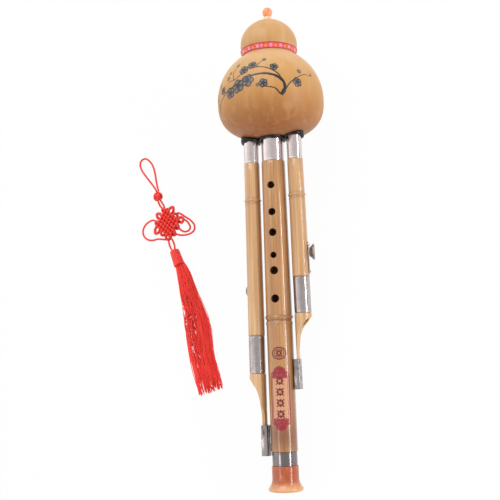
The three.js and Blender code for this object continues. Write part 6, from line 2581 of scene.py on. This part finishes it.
@dataclass
class Studio:
    """The camera, the floor, the lamps and the surroundings."""

    camera_place: Triple = (202.2, -170.9, 726.3)
    forward: Triple = (-0.30269, 0.2211, -0.92709)
    up: Triple = (0.07375, 0.97524, 0.20851)
    lens: float = 62.35
    sensor: float = 36
    floor_half: float = 6
    floor_gap: float = 0.0004
    floor_light: float = 0.96

    def camera(self) -> None:
        """Makes the camera."""
        data = bpy.data.cameras.new("camera")
        data.lens = self.lens
        data.sensor_width = self.sensor
        data.clip_start = 0.01
        data.clip_end = 50
        back = -Vector(self.forward).normalized()
        right = Vector(self.up).cross(back).normalized()
        up = back.cross(right)
        turn = Matrix((right, up, back)).transposed().to_4x4()
        thing = bpy.data.objects.new("camera", data)
        thing.matrix_world = Matrix.Translation(Vector(self.camera_place) * MM) @ turn
        bpy.context.scene.collection.objects.link(thing)
        bpy.context.scene.camera = thing

    def floor(self) -> None:
        """Makes the pale floor, which shows white to the camera but keeps a soft shadow."""
        half = self.floor_half
        mesh = bpy.data.meshes.new("floor")
        mesh.from_pydata([(-half, -half, 0), (half, -half, 0), (half, half, 0), (-half, half, 0)], [],
                         [(0, 1, 2, 3)])
        paint = Paint("pale_floor")
        paint.surface.inputs["Base Color"].default_value = (0.82, 0.82, 0.82, 1)
        paint.surface.inputs["Roughness"].default_value = 0.9
        paint.surface.inputs["Specular IOR Level"].default_value = 0.1
        path = paint.tree.nodes.new("ShaderNodeLightPath")
        seen = paint.maths("MAXIMUM", path.outputs["Is Camera Ray"], path.outputs["Is Transmission Ray"])
        seen = paint.maths("MAXIMUM", seen, path.outputs["Is Glossy Ray"])
        share = paint.maths("MULTIPLY", seen, self.floor_light)
        glow = paint.tree.nodes.new("ShaderNodeEmission")
        blend = paint.tree.nodes.new("ShaderNodeMixShader")
        for number, socket in enumerate((share, paint.surface.outputs[0], glow.outputs[0])):
            paint.tree.links.new(socket, blend.inputs[number])
        paint.tree.links.new(blend.outputs[0], paint.out.inputs["Surface"])
        mesh.materials.append(paint.material)
        thing = bpy.data.objects.new("floor", mesh)
        thing.location.z = -self.floor_gap
        bpy.context.scene.collection.objects.link(thing)

    def lamp(self, name: str, place: Triple, aim: Triple, size: tuple[float, float], watts: float) -> None:
        """Makes one rectangular lamp.

        Args:
        Args:
            name: Its name.
            place: Where it stands, in metres.
            aim: The point that it faces, in metres.
            size: Its width and length in metres.
            watts: Its strength.
        """
        data = bpy.data.lights.new(name, "AREA")
        data.shape = "RECTANGLE"
        data.size, data.size_y = size
        data.energy = watts
        thing = bpy.data.objects.new(name, data)
        away = (Vector(place) - Vector(aim)).normalized()
        side = Vector((0, 1, 0)).cross(away).normalized()
        turn = Matrix((side, away.cross(side), away)).transposed().to_4x4()
        thing.matrix_world = Matrix.Translation(place) @ turn
        thing.visible_camera = False
        bpy.context.scene.collection.objects.link(thing)

    def lamps(self) -> None:
        """Makes the soft lamps."""
        self.lamp("top_window", (-0.25, 0.85, 0.95), (0, 0.1, 0), (0.9, 0.5), 5)
        self.lamp("left_window", (-0.5, -0.38, 0.82), (0, 0.05, 0), (0.2, 0.2), 0.5)
        self.lamp("right_strip", (0.78, -0.05, 0.33), (0, 0, 0.02), (0.06, 1.1), 4.2)

    def world(self) -> None:
        """Makes the surroundings: white to the camera, brighter round the sides than overhead."""
        world = bpy.data.worlds.new("surroundings")
        world.use_nodes = True
        tree = world.node_tree

        def node(kind: str, links: dict[int, Socket], **settings: object) -> Socket:
            """A new node.

            Args:
                kind: Its type.
                links: What feeds its inputs, by number.
                **settings: Its other values.

            Returns:
                Its first output.
            """
            fresh = tree.nodes.new(kind)
            for key, value in settings.items():
                setattr(fresh, key, value)
            for number, socket in links.items():
                tree.links.new(socket, fresh.inputs[number])
            return fresh.outputs[0]

        def eased(value: Socket, low: float, high: float, to_low: float, to_high: float) -> Socket:
            """A range of numbers brought to another one with a smooth step.

            Args:
                value: What is changed.
                low: The start of the range.
                high: The end of the range.
                to_low: What the start becomes.
                to_high: What the end becomes.

            Returns:
                The changed value.
            """
            change = node("ShaderNodeMapRange", {0: value}, interpolation_type="SMOOTHSTEP")
            for socket, number in zip(change.node.inputs[1:5], (low, high, to_low, to_high)):
                socket.default_value = number
            return change

        ways = tree.nodes.new("ShaderNodeSeparateXYZ")
        tree.links.new(tree.nodes.new("ShaderNodeTexCoord").outputs["Generated"], ways.inputs[0])
        round_it = eased(ways.outputs["Z"], 0.25, 0.9, 1, 0)
        along = eased(ways.outputs["Y"], -0.8, 0.1, 0.35, 1)
        both = node("ShaderNodeMath", {0: round_it, 1: along}, operation="MULTIPLY")
        light = eased(both, 0, 1, 0.72, 1)
        right = eased(ways.outputs["X"], 0.2, 0.6, 0, 1)
        low = eased(ways.outputs["Z"], 0.22, 0.36, 0.95, 0)
        lifted = eased(ways.outputs["Z"], 0.05, 0.1, 0, 1)
        right = node("ShaderNodeMath", {0: right, 1: lifted}, operation="MULTIPLY")
        shade = node("ShaderNodeMath", {0: right, 1: low}, operation="MULTIPLY")
        shade = node("ShaderNodeMath", {1: shade}, operation="SUBTRACT")
        shade.node.inputs[0].default_value = 1
        light = node("ShaderNodeMath", {0: light, 1: shade}, operation="MULTIPLY")
        left = eased(ways.outputs["X"], -0.7, 0.1, 1.3, 0.9)
        light = node("ShaderNodeMath", {0: light, 1: left}, operation="MULTIPLY")
        path = tree.nodes.new("ShaderNodeLightPath")
        rays = {0: path.outputs["Is Camera Ray"], 1: path.outputs["Is Transmission Ray"]}
        seen = node("ShaderNodeMath", rays, operation="MAXIMUM")
        strength = node("ShaderNodeMath", {0: light, 1: seen}, operation="MAXIMUM")
        plain = tree.nodes["Background"]
        tree.links.new(strength, plain.inputs["Strength"])
        plain.inputs["Color"].default_value = (1, 1, 1, 1)
        bpy.context.scene.world = world


def dress_reeds() -> None:
    """Gives the reed plates inside the gourd their brass."""
    for name in ("main_reed_plate", "left_reed_plate", "right_reed_plate"):
        node = frame["nodes"][name]
        brass = Brass("reed_brass_sheet").material()
        if node.material_slots:
            for holder in node.material_slots:
                holder.material = brass
        else:
            node.data.materials.append(brass)


def main() -> None:
    """Builds the studio and the pieces in order, and reports each."""
    logging.basicConfig(level=logging.INFO, format="%(message)s")
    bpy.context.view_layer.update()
    bpy.context.scene.view_settings.view_transform = "Standard"
    studio = Studio()
    studio.camera()
    steps: list[tuple[str, Callable[[], None]]] = [
        ("tassel cords", TasselCords().build),
        ("button knot", ButtonKnot().build),
        ("bound head", HeadWrap().build),
        ("fringe", Fringe().build),
        ("gourd", Gourd().build),
        ("mouthpiece", Mouthpiece().build),
        ("seals", Seals().build),
        ("main pipe", MainPipe().build),
        ("bell", Bell().build),
        ("left drone", Drone(LEFT).build),
        ("right drone", Drone(RIGHT).build),
        ("reeds", dress_reeds),
        ("floor", studio.floor),
        ("lamps", studio.lamps),
        ("surroundings", studio.world),
    ]
    for name, build in steps:
        before = set(bpy.data.objects)
        build()
        made = [thing.name for thing in bpy.data.objects if thing not in before]
        LOG.info("%s: %s", name, ", ".join(sorted(made)) or "finishes only")


if __name__ == "__main__":
    main()
